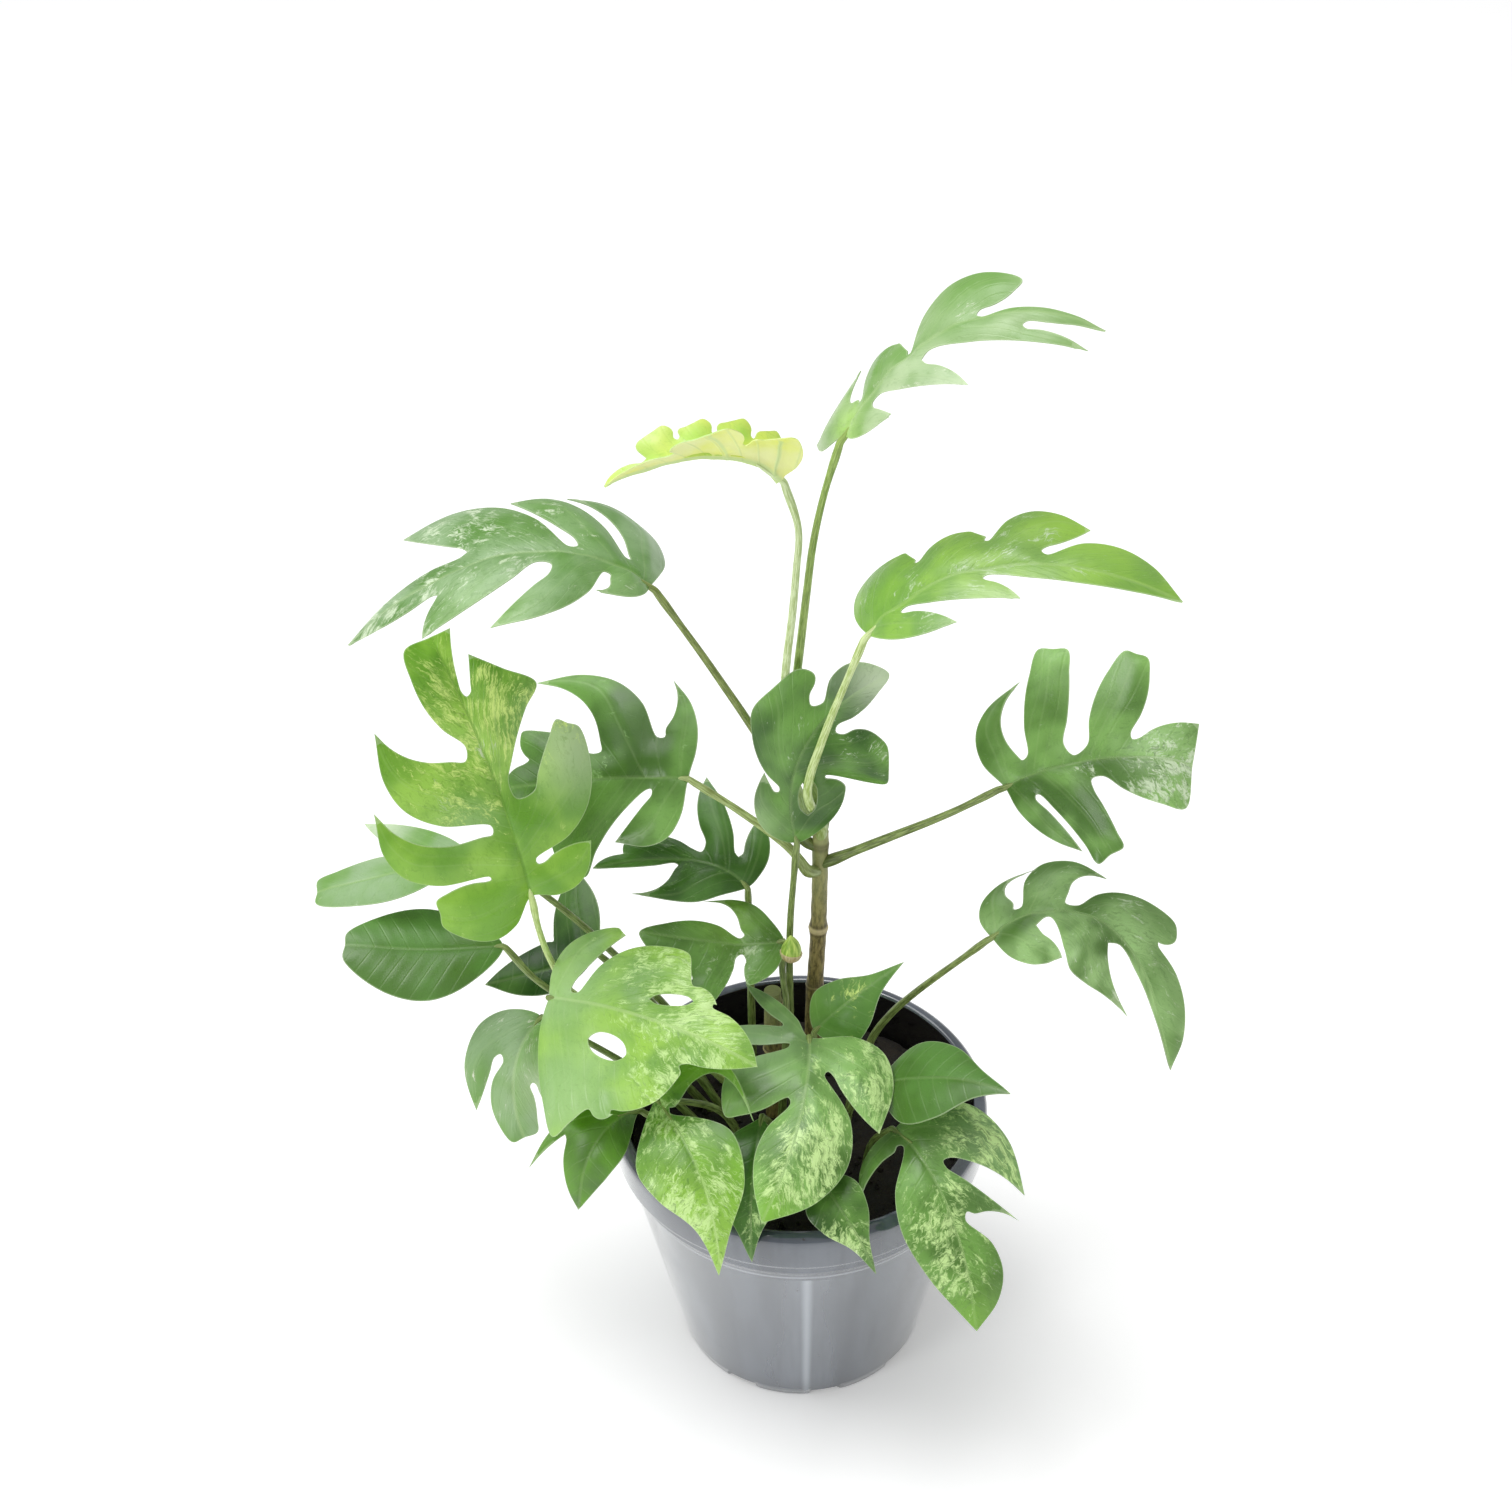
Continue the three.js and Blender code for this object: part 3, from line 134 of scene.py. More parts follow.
LEAF_LOOKS = {
    "crown": look(
        "leaf mist ivory", 0.15, all_over=0.12, cream=[(0.3, -0.1, 0.3, 0.35)],
        patches=[(0.6, 0.12, 0.25, "leaf", 0.9), (0.85, 0.1, 0.25, "leaf", 0.85),
            (0.02, 0, 0.1, "lime_pale", 0.7),
                 (0.45, -0.25, 0.2, "milk", 0.8), (0.95, -0.15, 0.2, "mist", 0.6)],
    ),
    "new": look(
        "lime_pale butter ivory", 0.1, all_over=0.15,
        patches=[(0.75, -0.2, 0.3, "straw", 0.7), (0.75, 0.2, 0.3, "straw", 0.5)],
    ),
    "upper_left": look(
        "grass sage milk", 0.15, all_over=0.12,
        patches=[(0.55, 0.25, 0.2, "soft", 0.6), (0.3, -0.15, 0.2, "leaf", 0.5),
            (0.1, 0.1, 0.15, "fresh", 0.5)],
        flecks=[(0.9, 0, 0.35, 0.6), (0.5, -0.2, 0.25, 0.45)], cream=[(0.85, 0.15, 0.3, 0.3),
            (0.3, 0.1, 0.2, 0.2)],
    ),
    "upper_right": look(
        "leaf lime_light milk", 0.15, all_over=0.15, flecks=[(0.4, -0.1, 0.25, 0.35)],
        patches=[(0.1, 0.1, 0.2, "lime", 0.5), (0.45, -0.2, 0.22, "mist", 0.75),
            (0.7, 0.15, 0.25, "lime_light", 0.6)],
        cream=[(0.4, -0.15, 0.2, 0.3)],
    ),
    "back": look(
        "bottle leaf milk", 0.1, all_over=0.08, flecks=[(0.75, -0.2, 0.2, 0.4)],
        patches=[(0.97, 0, 0.14, "milk", 0.85), (0.3, -0.2, 0.15, "forest", 0.6),
            (0.1, 0.25, 0.14, "milk", 0.5)],
    ),
    "big_left": look(
        "lime_deep lime_light straw", -0.4, all_over=0.1,
        # The mist patch at 0.5 along and 0.3 to the right is a painted sheen on the right lobe.
        patches=[(0, 0.15, 0.2, "lime", 0.7), (0.5, -0.3, 0.18, "mist", 0.8),
            (0.2, 0.45, 0.2, "lime", 0.7),
                 (0.1, -0.25, 0.15, "lime", 0.6), (0.35, 0.15, 0.12, "soft", 0.6),
            (0.62, 0.1, 0.2, "lime_pale", 0.5)],
        flecks=[(0.8, 0.1, 0.22, 0.6), (0.7, -0.15, 0.2, 0.55), (0.5, 0.1, 0.2, 0.5)],
        cream=[(0.58, 0, 0.07, 0.75), (0.45, 0.22, 0.1, 0.5)],
    ),
    "mid": look(
        "forest leaf soft", 0.1, all_over=0.06, flecks=[(0.5, -0.05, 0.15, 0.35)],
        cream=[(0.35, -0.1, 0.1, 0.3)],
        patches=[(0.8, 0.4, 0.3, "fresh", 0.6), (0.1, 0.25, 0.15, "fresh", 0.5)],
    ),
    "centre_back": look("bottle grass soft", 0.1, flecks=[(0.6, 0.1, 0.3, 0.3)]),
    "centre_front": look(
        "moss leaf mist", 0.1, all_over=0.15, flecks=[(0.3, 0.2, 0.25, 0.5)],
        patches=[(0.4, -0.2, 0.2, "lime_light", 0.4)],
    ),
    "low_left": look(
        "leaf lime_light lime_mist", 0.3,
        patches=[(0.1, 0.05, 0.22, "soft", 0.85), (0.25, -0.35, 0.25, "soft", 0.85),
                 (0.75, 0.2, 0.3, "lime_pale", 0.4)],
        flecks=[(0.75, 0.2, 0.33, 0.85), (0.75, -0.2, 0.22, 0.8), (0.45, 0.35, 0.25, 0.65)],
        cream=[(0.2, 0.05, 0.2, 0.3), (0.6, 0.1, 0.25, 0.2)],
    ),
    "low_outer": look(
        "leaf sage ivory", 0.2, all_over=0.2, patches=[(0.6, 0.3, 0.3, "milk", 0.6)],
        cream=[(0.6, 0.3, 0.35, 0.6)],
    ),
    "front_left": look(
        "grass lime lime_mist", 0.1, all_over=0.2, cream=[(0.7, -0.1, 0.2, 0.2)],
        patches=[(0.3, 0.2, 0.2, "grass", 0.7), (0.55, -0.15, 0.3, "lime_light", 0.6),
            (0.9, 0, 0.3, "lime_pale", 0.7)],
        flecks=[(0.72, -0.1, 0.34, 0.95), (0.15, -0.05, 0.18, 0.85)],
    ),
    "front_centre": look(
        "moss fresh lime_mist", 0.15,
        patches=[(0.05, -0.35, 0.3, "sage", 0.8), (0.95, 0, 0.15, "lime", 0.8),
            (0.6, -0.2, 0.2, "leaf", 0.7)],
        flecks=[(0.6, 0.15, 0.24, 0.95), (0.2, 0.4, 0.32, 0.9), (0.8, 0.05, 0.15, 0.6)],
        cream=[(0.6, 0.12, 0.18, 0.3), (0.2, 0.4, 0.2, 0.2)],
    ),
    "front_right": look(
        "moss leaf lime_mist", 0.1, all_over=0.15, cream=[(0.7, 0.15, 0.12, 0.5)],
        patches=[(0.25, 0.4, 0.25, "sage", 0.6), (0.95, 0, 0.15, "lime", 0.7)],
        flecks=[(0.5, -0.08, 0.17, 0.75), (0.75, -0.05, 0.14, 0.75), (0.25, 0.35, 0.32, 0.75)],
    ),
    "right_low": look("forest grass soft", 0.08, all_over=0.04),
    "right_up": look("grass leaf straw", 0.1, all_over=0.06, flecks=[(0.5, 0.05, 0.14, 0.7)]),
    "right_mid": look(
        "forest fresh milk", 0.1, cream=[(0.9, 0, 0.25, 0.35)],
        patches=[(0.1, 0.35, 0.2, "moss", 0.7), (0.92, 0, 0.25, "soft", 0.6),
            (0.5, 0.45, 0.25, "fresh", 0.6)],
        flecks=[(0.9, -0.05, 0.28, 0.8), (0.45, -0.05, 0.15, 0.3)],
    ),
    "right_lower": look(
        "moss soft milk", 0.1, all_over=0.1, flecks=[(0.5, 0, 0.3, 0.3)], cream=[(0.8, 0.2, 0.3, 0.45)],
        patches=[(0.1, 0.2, 0.2, "moss", 0.6), (0.75, 0.2, 0.25, "soft", 0.7)],
    ),
    "far_left": look("leaf sage milk", 0.15, all_over=0.12, patches=[(0.6, -0.4, 0.2, "milk", 0.7)]),
    "left_low": look("moss grass sage", 0.08, all_over=0.04),
    "shade_left": look("night forest fresh", 0.1, flecks=[(0.4, 0, 0.15, 0.3)]),
    "small_left": look("bottle grass lime_mist", 0.1, flecks=[(0.7, 0.15, 0.25, 0.9)]),
    "small_right": look(
        "bottle leaf lime_mist", 0.1, all_over=0.1, flecks=[(0.65, -0.15, 0.28, 0.95)],
        cream=[(0.7, -0.1, 0.2, 0.3)],
    ),
    "hanging_left": look("moss lime_deep fresh", 0.1, flecks=[(0.3, 0, 0.2, 0.35)]),
}
CREAM = srgb("f0f0e0")
VEIN_GREEN = srgb("c8e0a0")
MARGIN_GREEN = srgb("d8e8c0")


# ---------- Reading the CAD nodes ----------
def welded(node):
    """The node's points and triangles, with points that share a place joined."""
    mesh = frame["nodes"][node].data
    spots = np.array([vertex.co for vertex in mesh.vertices])
    points, where = np.unique(np.round(spots, 6), axis=0, return_inverse=True)
    where = where.ravel()
    triangles = np.array([[where[i] for i in face.vertices] for face in mesh.polygons])
    return points, triangles


def face_normals(points, triangles):
    a, b, c = (points[triangles[:, k]] for k in range(3))
    return np.cross(b - a, c - a)


def lengths_along(path):
    return np.concatenate([[0], np.cumsum(np.linalg.norm(np.diff(path, axis=0), axis=1))])


def nearest_pairs(points, triangles, seed):
    """Each corner of the seed triangle with the point across the blade from it."""
    normals = face_normals(points, triangles)
    facing = normals @ normals[seed] < -0.5 * np.linalg.norm(normals, axis=1) * np.linalg.norm(normals[seed])
    best = None
    for other in np.flatnonzero(facing):
        gaps = np.linalg.norm(points[triangles[seed]][:, None] - points[triangles[other]][None], axis=2)
        total = gaps.min(axis=1).sum()
        if best is None or total < best[0]:
            pairs = {int(a): int(triangles[other][gaps[k].argmin()]) for k, a in enumerate(triangles[seed])}
            best = (total, pairs)
    return best[1]


def upper_skin(node):
    """The blade's upper skin: its points, triangles and thickness at each point."""
    points, triangles = welded(node)
    across = {}
    for a, b, c in triangles.tolist():
        across[a, b] = c
        across[b, c] = a
        across[c, a] = b
    size = np.linalg.norm(face_normals(points, triangles), axis=1)
    seed = int(size.argmax())
    under = nearest_pairs(points, triangles, seed)
    skin = set()
    waiting = [tuple(triangles[seed].tolist())]
    while waiting:
        a, b, c = waiting.pop()
        first = min(a, b, c)
        while a != first:
            a, b, c = b, c, a
        if (a, b, c) in skin:
            continue
        skin.add((a, b, c))
        for p, q in ((a, b), (b, c), (c, a)):
            far = across[q, p]
            if far in (under[p], under[q]):
                continue
            under[far] = across[under[p], under[q]]
            waiting.append((q, p, far))
    skin = np.array(sorted(skin))
    if face_normals(points, skin)[:, 2].sum() < 0:
        skin = np.array([[under[a], under[c], under[b]] for a, b, c in skin.tolist()])
        under = {low: high for high, low in under.items()}
    used = np.unique(skin)
    number = {int(old): new for new, old in enumerate(used)}
    thick = np.array([np.linalg.norm(points[i] - points[under[int(i)]]) for i in used])
    return points[used], np.array([[number[i] for i in face] for face in skin.tolist()]), thick


def border_loops(triangles):
    """The skin's borders as closed loops of points, each with the blade on its left."""
    edges = {(a, b) for face in triangles.tolist() for a, b in zip(face, face[1:] + face[:1])}
    onward = {a: b for a, b in edges if (b, a) not in edges}
    loops = []
    while onward:
        start, spot = onward.popitem()
        loop = [start]
        while spot != start:
            loop.append(spot)
            spot = onward.pop(spot)
        loops.append(loop)
    return sorted(loops, key=len, reverse=True)


def neighbours_of(triangles):
    near = {}
    for a, b, c in triangles.tolist():
        near.setdefault(a, set()).update((b, c))
        near.setdefault(b, set()).update((a, c))
        near.setdefault(c, set()).update((a, b))
    return near


def rib_chain(points, thick, near, border):
    """The midrib's points, from the blade's base to its tip."""
    ribs = {int(i) for i in np.flatnonzero(thick > SKIN_RIB)}
    (spot,) = [i for i in border if i in ribs]
    chain = [spot]
    while True:
        onward = [i for i in near[chain[-1]] if i in ribs and i not in chain]
        if not onward:
            break
        chain.append(min(onward, key=lambda i: np.linalg.norm(points[i] - points[chain[-1]])))
    run = points[chain[-1]] - points[chain[-2]]

    def straightness(i):
        step = points[i] - points[chain[-1]]
        return step @ run / np.linalg.norm(step)

    chain.append(max((i for i in near[chain[-1]] if i in border), key=straightness))
    return chain


# ---------- The flat blade ----------
class Rib:
    """The midrib as a smooth curve by its length, which runs on straight past both its ends."""

    def __init__(self, points, face):
        self.knots = lengths_along(points)
        self.length = self.knots[-1]
        self.fits = [np.polyfit(self.knots / self.length, points[:, k], 4) for k in range(3)]
        self.face = face

    def at(self, s):
        share = np.clip(s / self.length, 0, 1)
        inner = np.stack([np.polyval(fit, share) for fit in self.fits], axis=-1)
        return inner + self.along(s) * (s - share * self.length)[..., None]

    def along(self, s):
        share = np.clip(s / self.length, 0, 1)
        slope = np.stack([np.polyval(np.polyder(fit), share) for fit in self.fits], axis=-1)
        return slope / np.linalg.norm(slope, axis=-1, keepdims=True)

    def left(self, s):
        side = np.cross(self.face, self.along(s))
        return side / np.linalg.norm(side, axis=-1, keepdims=True)

    def flatten(self, points):
        """Each point's place on the flat blade: its length along the rib, and out to the left."""
        samples = np.linspace(-0.8 * self.length, 1.5 * self.length, 1800)
        spots = self.at(samples)
        apart = np.linalg.norm(points[:, None] - spots[None], axis=2)
        s = samples[apart.argmin(axis=1)]
        s = s + ((points - self.at(s)) * self.along(s)).sum(axis=1)
        out = points - self.at(s)
        side = np.where((out * self.left(s)).sum(axis=1) < 0, -1, 1)
        return np.stack([s, side * np.linalg.norm(out, axis=1)], axis=1)


def plate(spots, values, tail):
    """A thin-plate function of the flat blade that takes these values at these spots."""

    def kernel(where):
        square = ((where[:, None] - spots[None]) ** 2).sum(axis=2)
        return 0.5 * square * np.log(square + 1e-12)

    side = tail(spots)
    size = side.shape[1]
    system = np.block([[kernel(spots), side], [side.T, np.zeros((size, size))]])
    goal = np.vstack([values, np.zeros((size, values.shape[1]))])
    weights = np.linalg.lstsq(system, goal, rcond=None)[0]
    return lambda where: np.hstack([kernel(where), tail(where)]) @ weights


def folded_tail(spots):
    """Straight terms, and one that folds the blade along its rib."""
    return np.column_stack([np.ones(len(spots)), spots, np.abs(spots[:, 1])])


def flow_tail(spots):
    return np.column_stack([np.ones(len(spots)), spots[:, 0], np.abs(spots[:, 1])])


def smooth_loop(spots):
    """A closed outline through the spots, rounded everywhere but at sharp lobe tips."""
    count = len(spots)
    steps = np.roll(spots, -1, axis=0) - spots
    heading = np.arctan2(steps[:, 1], steps[:, 0])
    turn = (heading - np.roll(heading, 1) + math.pi) % (2 * math.pi) - math.pi
    corner = np.abs(turn) > CORNER_TURN
    outline = []
    for i in range(count):
        b, c = spots[i], spots[(i + 1) % count]
        a = 2 * b - c if corner[i] else spots[i - 1]
        d = 2 * c - b if corner[(i + 1) % count] else spots[(i + 2) % count]
        outline.extend(curve_piece(a, b, c, d, OUTLINE_STEP))
    return np.array(outline)


def curve_piece(a, b, c, d, step):
    """Points from b up to c on the centripetal curve through a, b, c and d."""
    k0, k1, k2 = (max(np.linalg.norm(q - p), 1e-7) ** 0.5 for p, q in ((a, b), (b, c), (c, d)))
    leave = (b - a) / k0 - (c - a) / (k0 + k1) + (c - b) / k1
    arrive = (c - b) / k1 - (d - b) / (k1 + k2) + (d - c) / k2
    leave, arrive = leave * k1, arrive * k1
    stops = max(2, math.ceil(np.linalg.norm(c - b) / step))
    placed = []
    for i in range(stops):
        t = i / stops
        placed.append(
            (2 * t**3 - 3 * t**2 + 1) * b + (t**3 - 2 * t**2 + t) * leave
            + (3 * t**2 - 2 * t**3) * c + (t**3 - t**2) * arrive
        )
    return placed


def smooth_line(spots, step):
    """An open curve through the spots."""
    line = []
    for i in range(len(spots) - 1):
        a = spots[i - 1] if i else 2 * spots[0] - spots[1]
        d = spots[i + 2] if i + 2 < len(spots) else 2 * spots[-1] - spots[-2]
        line.extend(curve_piece(a, spots[i], spots[i + 1], d, step))
    line.append(spots[-1])
    return np.array(line)


def inside(loops, spots):
    """Which spots lie inside the outer loop and outside the holes."""
    odd = np.zeros(len(spots), bool)
    for loop in loops:
        onward = np.roll(loop, -1, axis=0)
        for (ax, ay), (bx, by) in zip(loop, onward):
            crosses = (ay > spots[:, 1]) != (by > spots[:, 1])
            if crosses.any():
                reach = (bx - ax) * (spots[:, 1] - ay) / (by - ay + 1e-30) + ax
                odd ^= crosses & (spots[:, 0] < reach)
    return odd


def nearest(spots, others):
    """How far each spot is from the closest of the others."""
    if not len(others):
        return np.full(len(spots), 1.0)
    return np.linalg.norm(spots[:, None] - others[None], axis=2).min(axis=1)


def vein_lines(flat, thick, near, chain, border):
    """Each lobe's vein on the flat blade, from its root on the rib to the lobe's tip."""
    veins = {int(i) for i in np.flatnonzero((thick > SKIN_VEIN) & (thick <= SKIN_RIB))}
    found = []
    for root in chain:
        for first in near[root] & veins:
            for second in near[first] & veins:
                miss = np.linalg.norm(flat[root] + flat[second] - 2 * flat[first])
                found.append((miss, root, first, second))
    lines, used = [], set()
    for _, root, first, second in sorted(found):
        if first in used or second in used or len(used) >= len(veins):
            continue
        onward = [i for i in near[second] & veins if i not in used and i != first]
        if not onward:
            continue
        run = flat[second] - flat[first]
        third = max(onward, key=lambda i: straight(flat, second, i, run))
        tip = max(near[third] & border, key=lambda i: straight(flat, third, i, flat[third] - flat[second]))
        used |= {first, second, third}
        lines.append(flat[[root, first, second, third, tip]])
    return lines


def straight(flat, here, there, run):
    """How straight on a step goes, less its length, so that the nearest straight step wins."""
    step = flat[there] - flat[here]
    size = np.linalg.norm(step)
    return step @ run / (size * np.linalg.norm(run) + 1e-12) - 4 * size


def fine_triangles(loops, lines, loose):
    """Fills the flat blade with small triangles along its outline, veins and a lattice between them."""
    spots, edges = [], []
    for loop in loops:
        first = len(spots)
        spots.extend(loop)
        edges.extend((first + i, first + (i + 1) % len(loop)) for i in range(len(loop)))
    for line in lines:
        first = len(spots)
        spots.extend(line)
        edges.extend((first + i, first + i + 1) for i in range(len(line) - 1))
    fixed = np.array(spots)
    loose = loose[inside(loops, loose) & (nearest(loose, fixed) > 0.5 * OUTLINE_STEP)]
    fixed = np.vstack([fixed, loose])
    low, high = fixed.min(axis=0), fixed.max(axis=0)
    rows = np.arange(low[1], high[1], LATTICE_STEP * math.sqrt(0.75))
    lattice = []
    for number, v in enumerate(rows):
        shift = 0.5 * LATTICE_STEP * (number % 2)
        lattice.extend((u, v) for u in np.arange(low[0] + shift, high[0], LATTICE_STEP))
    lattice = np.array(lattice)
    lattice = lattice[inside(loops, lattice)]
    lattice = lattice[nearest(lattice, fixed) > 0.6 * LATTICE_STEP]
    everything = np.vstack([fixed, lattice]) * TO_FILL
    made = delaunay_2d_cdt([Vector(spot) for spot in everything], edges, [], 0, 1e-5)
    spots = np.array([tuple(spot) for spot in made[0]]) / TO_FILL
    triangles = np.array([face for face in made[2] if len(face) == 3])
    middle = spots[triangles].mean(axis=1)
    return spots, triangles[inside(loops, middle)]


# ---------- Making pieces ----------
FACT_KINDS = {1: ("FLOAT", "value"), 3: ("FLOAT_VECTOR", "vector"), 4: ("FLOAT_COLOR", "color")}


def add_object(name, data):
    made = bpy.data.objects.new(name, data)
    bpy.context.scene.collection.objects.link(made)
    return made


def piece(name, points, faces, materials, nodes, index=None, facts=None, sharp=60):
    """A mesh that rides on the plant, stands for its CAD nodes and carries the given materials."""
    mesh = bpy.data.meshes.new(name)
    mesh.from_pydata([tuple(p) for p in points], [], [tuple(int(i) for i in face) for face in faces])
    for material in materials:
        mesh.materials.append(material)
    mesh.polygons.foreach_set("use_smooth", [True] * len(mesh.polygons))
    if index is not None:
        mesh.polygons.foreach_set("material_index", np.asarray(index, np.int32))
    for key, values in (facts or {}).items():
        values = np.asarray(values, np.float32).ravel()
        kind, field = FACT_KINDS[len(values) // len(points)]
        mesh.attributes.new(key, kind, "POINT").data.foreach_set(field, values)
    mesh.set_sharp_from_angle(angle=math.radians(sharp))
    mesh.validate()
    made = add_object(name, mesh)
    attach(made, "root")
    if nodes:
        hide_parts(*nodes)
    return made


def point_normals(points, triangles):
    normals = np.zeros_like(points)
    faces = face_normals(points, triangles)
    for corner in range(3):
        np.add.at(normals, triangles[:, corner], faces)
    return normals / (np.linalg.norm(normals, axis=1, keepdims=True) + 1e-15)


def bell(distance, width):
    return np.exp(-((distance / width) ** 2))


def leaf_skin(name):
    """A leaf's upper skin and thickness, its neighbours, borders and midrib, and the way it faces."""
    points, triangles, thick = upper_skin("leaf_" + name)
    near = neighbours_of(triangles)
    loops = border_loops(triangles)
    chain = rib_chain(points, thick, near, set(loops[0]))
    face = face_normals(points, triangles).sum(axis=0)
    return points, thick, near, loops, chain, face / np.linalg.norm(face)


def groove(distance, size):
    depth, width = size
    return depth * bell(distance, width)


def blade(name):
    """One leaf, from its CAD node."""
    points, thick, near, loops, chain, face = leaf_skin(name)
    rib = Rib(points[chain], face)
    flat = rib.flatten(points)
    length = rib.length

    outlines = [smooth_loop(flat[loop]) for loop in loops]
    lobes = vein_lines(flat, thick, near, chain, set(loops[0]))
    middle = np.column_stack([np.arange(OUTLINE_STEP, length - OUTLINE_STEP, OUTLINE_STEP)] * 2) * (1, 0)
    curves = [smooth_line(lobe, OUTLINE_STEP) for lobe in lobes]
    inner = [curve[1 : int(len(curve) * VEIN_END)] for curve in curves]
    tracks = np.vstack([middle + (0, side * away) for side in (1, -1) for away in RIB_TRACKS])
    spots, fine = fine_triangles(outlines, [middle], np.vstack([tracks, *inner]))

    shape = plate(flat / length, points, folded_tail)
    top = shape(spots / length)
    normals = point_normals(top, fine)

    veins = np.vstack([*inner, np.zeros((0, 2))])
    to_rib = np.abs(spots[:, 1]) + np.maximum(0, -spots[:, 0]) + np.maximum(0, spots[:, 0] - length)
    to_vein = nearest(spots, veins)
    to_edge = nearest(spots, np.vstack(outlines))
    flow = side_flow(spots, lobes, length)
    taper = 1 - 0.7 * np.clip(spots[:, 0] / length, 0, 1)
    calm = np.clip(to_edge / (4 * MM), 0, 1)
    droop = np.clip(1 - to_edge / EDGE_CURL, 0, 1) ** 2
    relief = (
        EDGE_DROOP * (1 - droop)
        - groove(to_rib, RIB_FURROW) * taper
        - groove(to_rib, RIB_VALLEY) * taper
        - groove(to_vein, VEIN_FURROW)
        + RIPPLE * np.sin(2 * math.pi * flow / SIDE_VEINS) * calm * (1 - bell(to_rib, RIPPLE_CLEAR))
    )
    top = top + normals * relief[:, None]
    depth = BLADE_THICK + groove(to_rib, RIB_SWELL) * taper + groove(to_vein, VEIN_SWELL)
    low = top - normals * depth[:, None]

    count = len(spots)
    edges = {(a, b) for f in fine.tolist() for a, b in zip(f, f[1:] + f[:1])}
    rim = [(a, a + count, b + count, b) for a, b in sorted(edges) if (b, a) not in edges]
    faces = [*fine.tolist(), *(fine[:, ::-1] + count).tolist(), *rim]
    index = [0] * len(fine) + [1] * len(fine) + [0] * len(rim)
    seed = len(name) * 7.3 + sum(map(ord, name)) * 0.37
    flows = np.column_stack([flow, np.abs(spots[:, 1]), np.where(spots[:, 1] > 0, seed, seed + 5)])
    near_by = np.column_stack([to_edge, to_vein, to_rib])
    flats = np.column_stack([spots, np.full(count, seed)])
    tint = patch_tint(name, spots / length)
    speckle = [fleck_density(name, key, spots / length) for key in ("flecks", "cream")]
    speckle = np.column_stack([*speckle, np.zeros(count)])
    facts = {"flow": flows, "flat": flats, "near_by": near_by, "tint": tint, "speckle": speckle}
    facts = {key: np.tile(values, (2, 1)) for key, values in facts.items()}
    materials = [leaf_top_material(name), leaf_under_material(name)]
    node = "leaf_" + name
    return piece("blade_" + name, np.vstack([top, low]), faces, materials, [node], index, facts)


def side_flow(spots, lobes, length):
    """Where on the rib the side vein through each spot starts, as a length along the rib."""
    flow = np.zeros(len(spots))
    along = np.linspace(0, 1, 9)
    for side in (1, -1):
        here = spots[:, 1] * side >= 0
        known = [np.column_stack([along, 0 * along])]
        values = [along]
        for lobe in lobes:
            if lobe[3, 1] * side > 0:
                line = smooth_line(lobe, 6 * MM)[1:] / length
                known.append(line * (1, side))
                values.append(np.full(len(line), lobe[0, 0] / length))
        known, values = np.vstack(known), np.concatenate(values)
        rest = values - known[:, 0] + FLOW_SLANT * np.abs(known[:, 1])
        where = spots[here] * (1, side) / length
        fit = plate(known, rest[:, None], flow_tail)(where)[:, 0]
        flow[here] = (fit + where[:, 0] - FLOW_SLANT * where[:, 1]) * length
    return flow


def round_patch(shares, u, v, size):
    return bell(np.hypot(shares[:, 0] - u, shares[:, 1] - v), size)


def patch_tint(name, shares):
    """The leaf's patches of colour at each point, with how strongly they cover it: mostly its own
    variegation, in one place a painted sheen.
    """
    tint = np.zeros((len(shares), 4))
    for u, v, size, colour, strength in LEAF_LOOKS[name]["patches"]:
        cover = strength * round_patch(shares, u, v, size)
        blend = cover / (cover + tint[:, 3] + 1e-9)
        tint[:, :3] += (np.array(srgb(GREENS[colour])) - tint[:, :3]) * blend[:, None]
        tint[:, 3] = np.maximum(tint[:, 3], cover)
    return tint


def fleck_density(name, key, shares):
    """How thickly a leaf is flecked at each point, from 0 to 1."""
    bare = np.ones(len(shares))
    for u, v, size, density in LEAF_LOOKS[name][key]:
        bare *= 1 - density * round_patch(shares, u, v, size)
    return 1 - bare


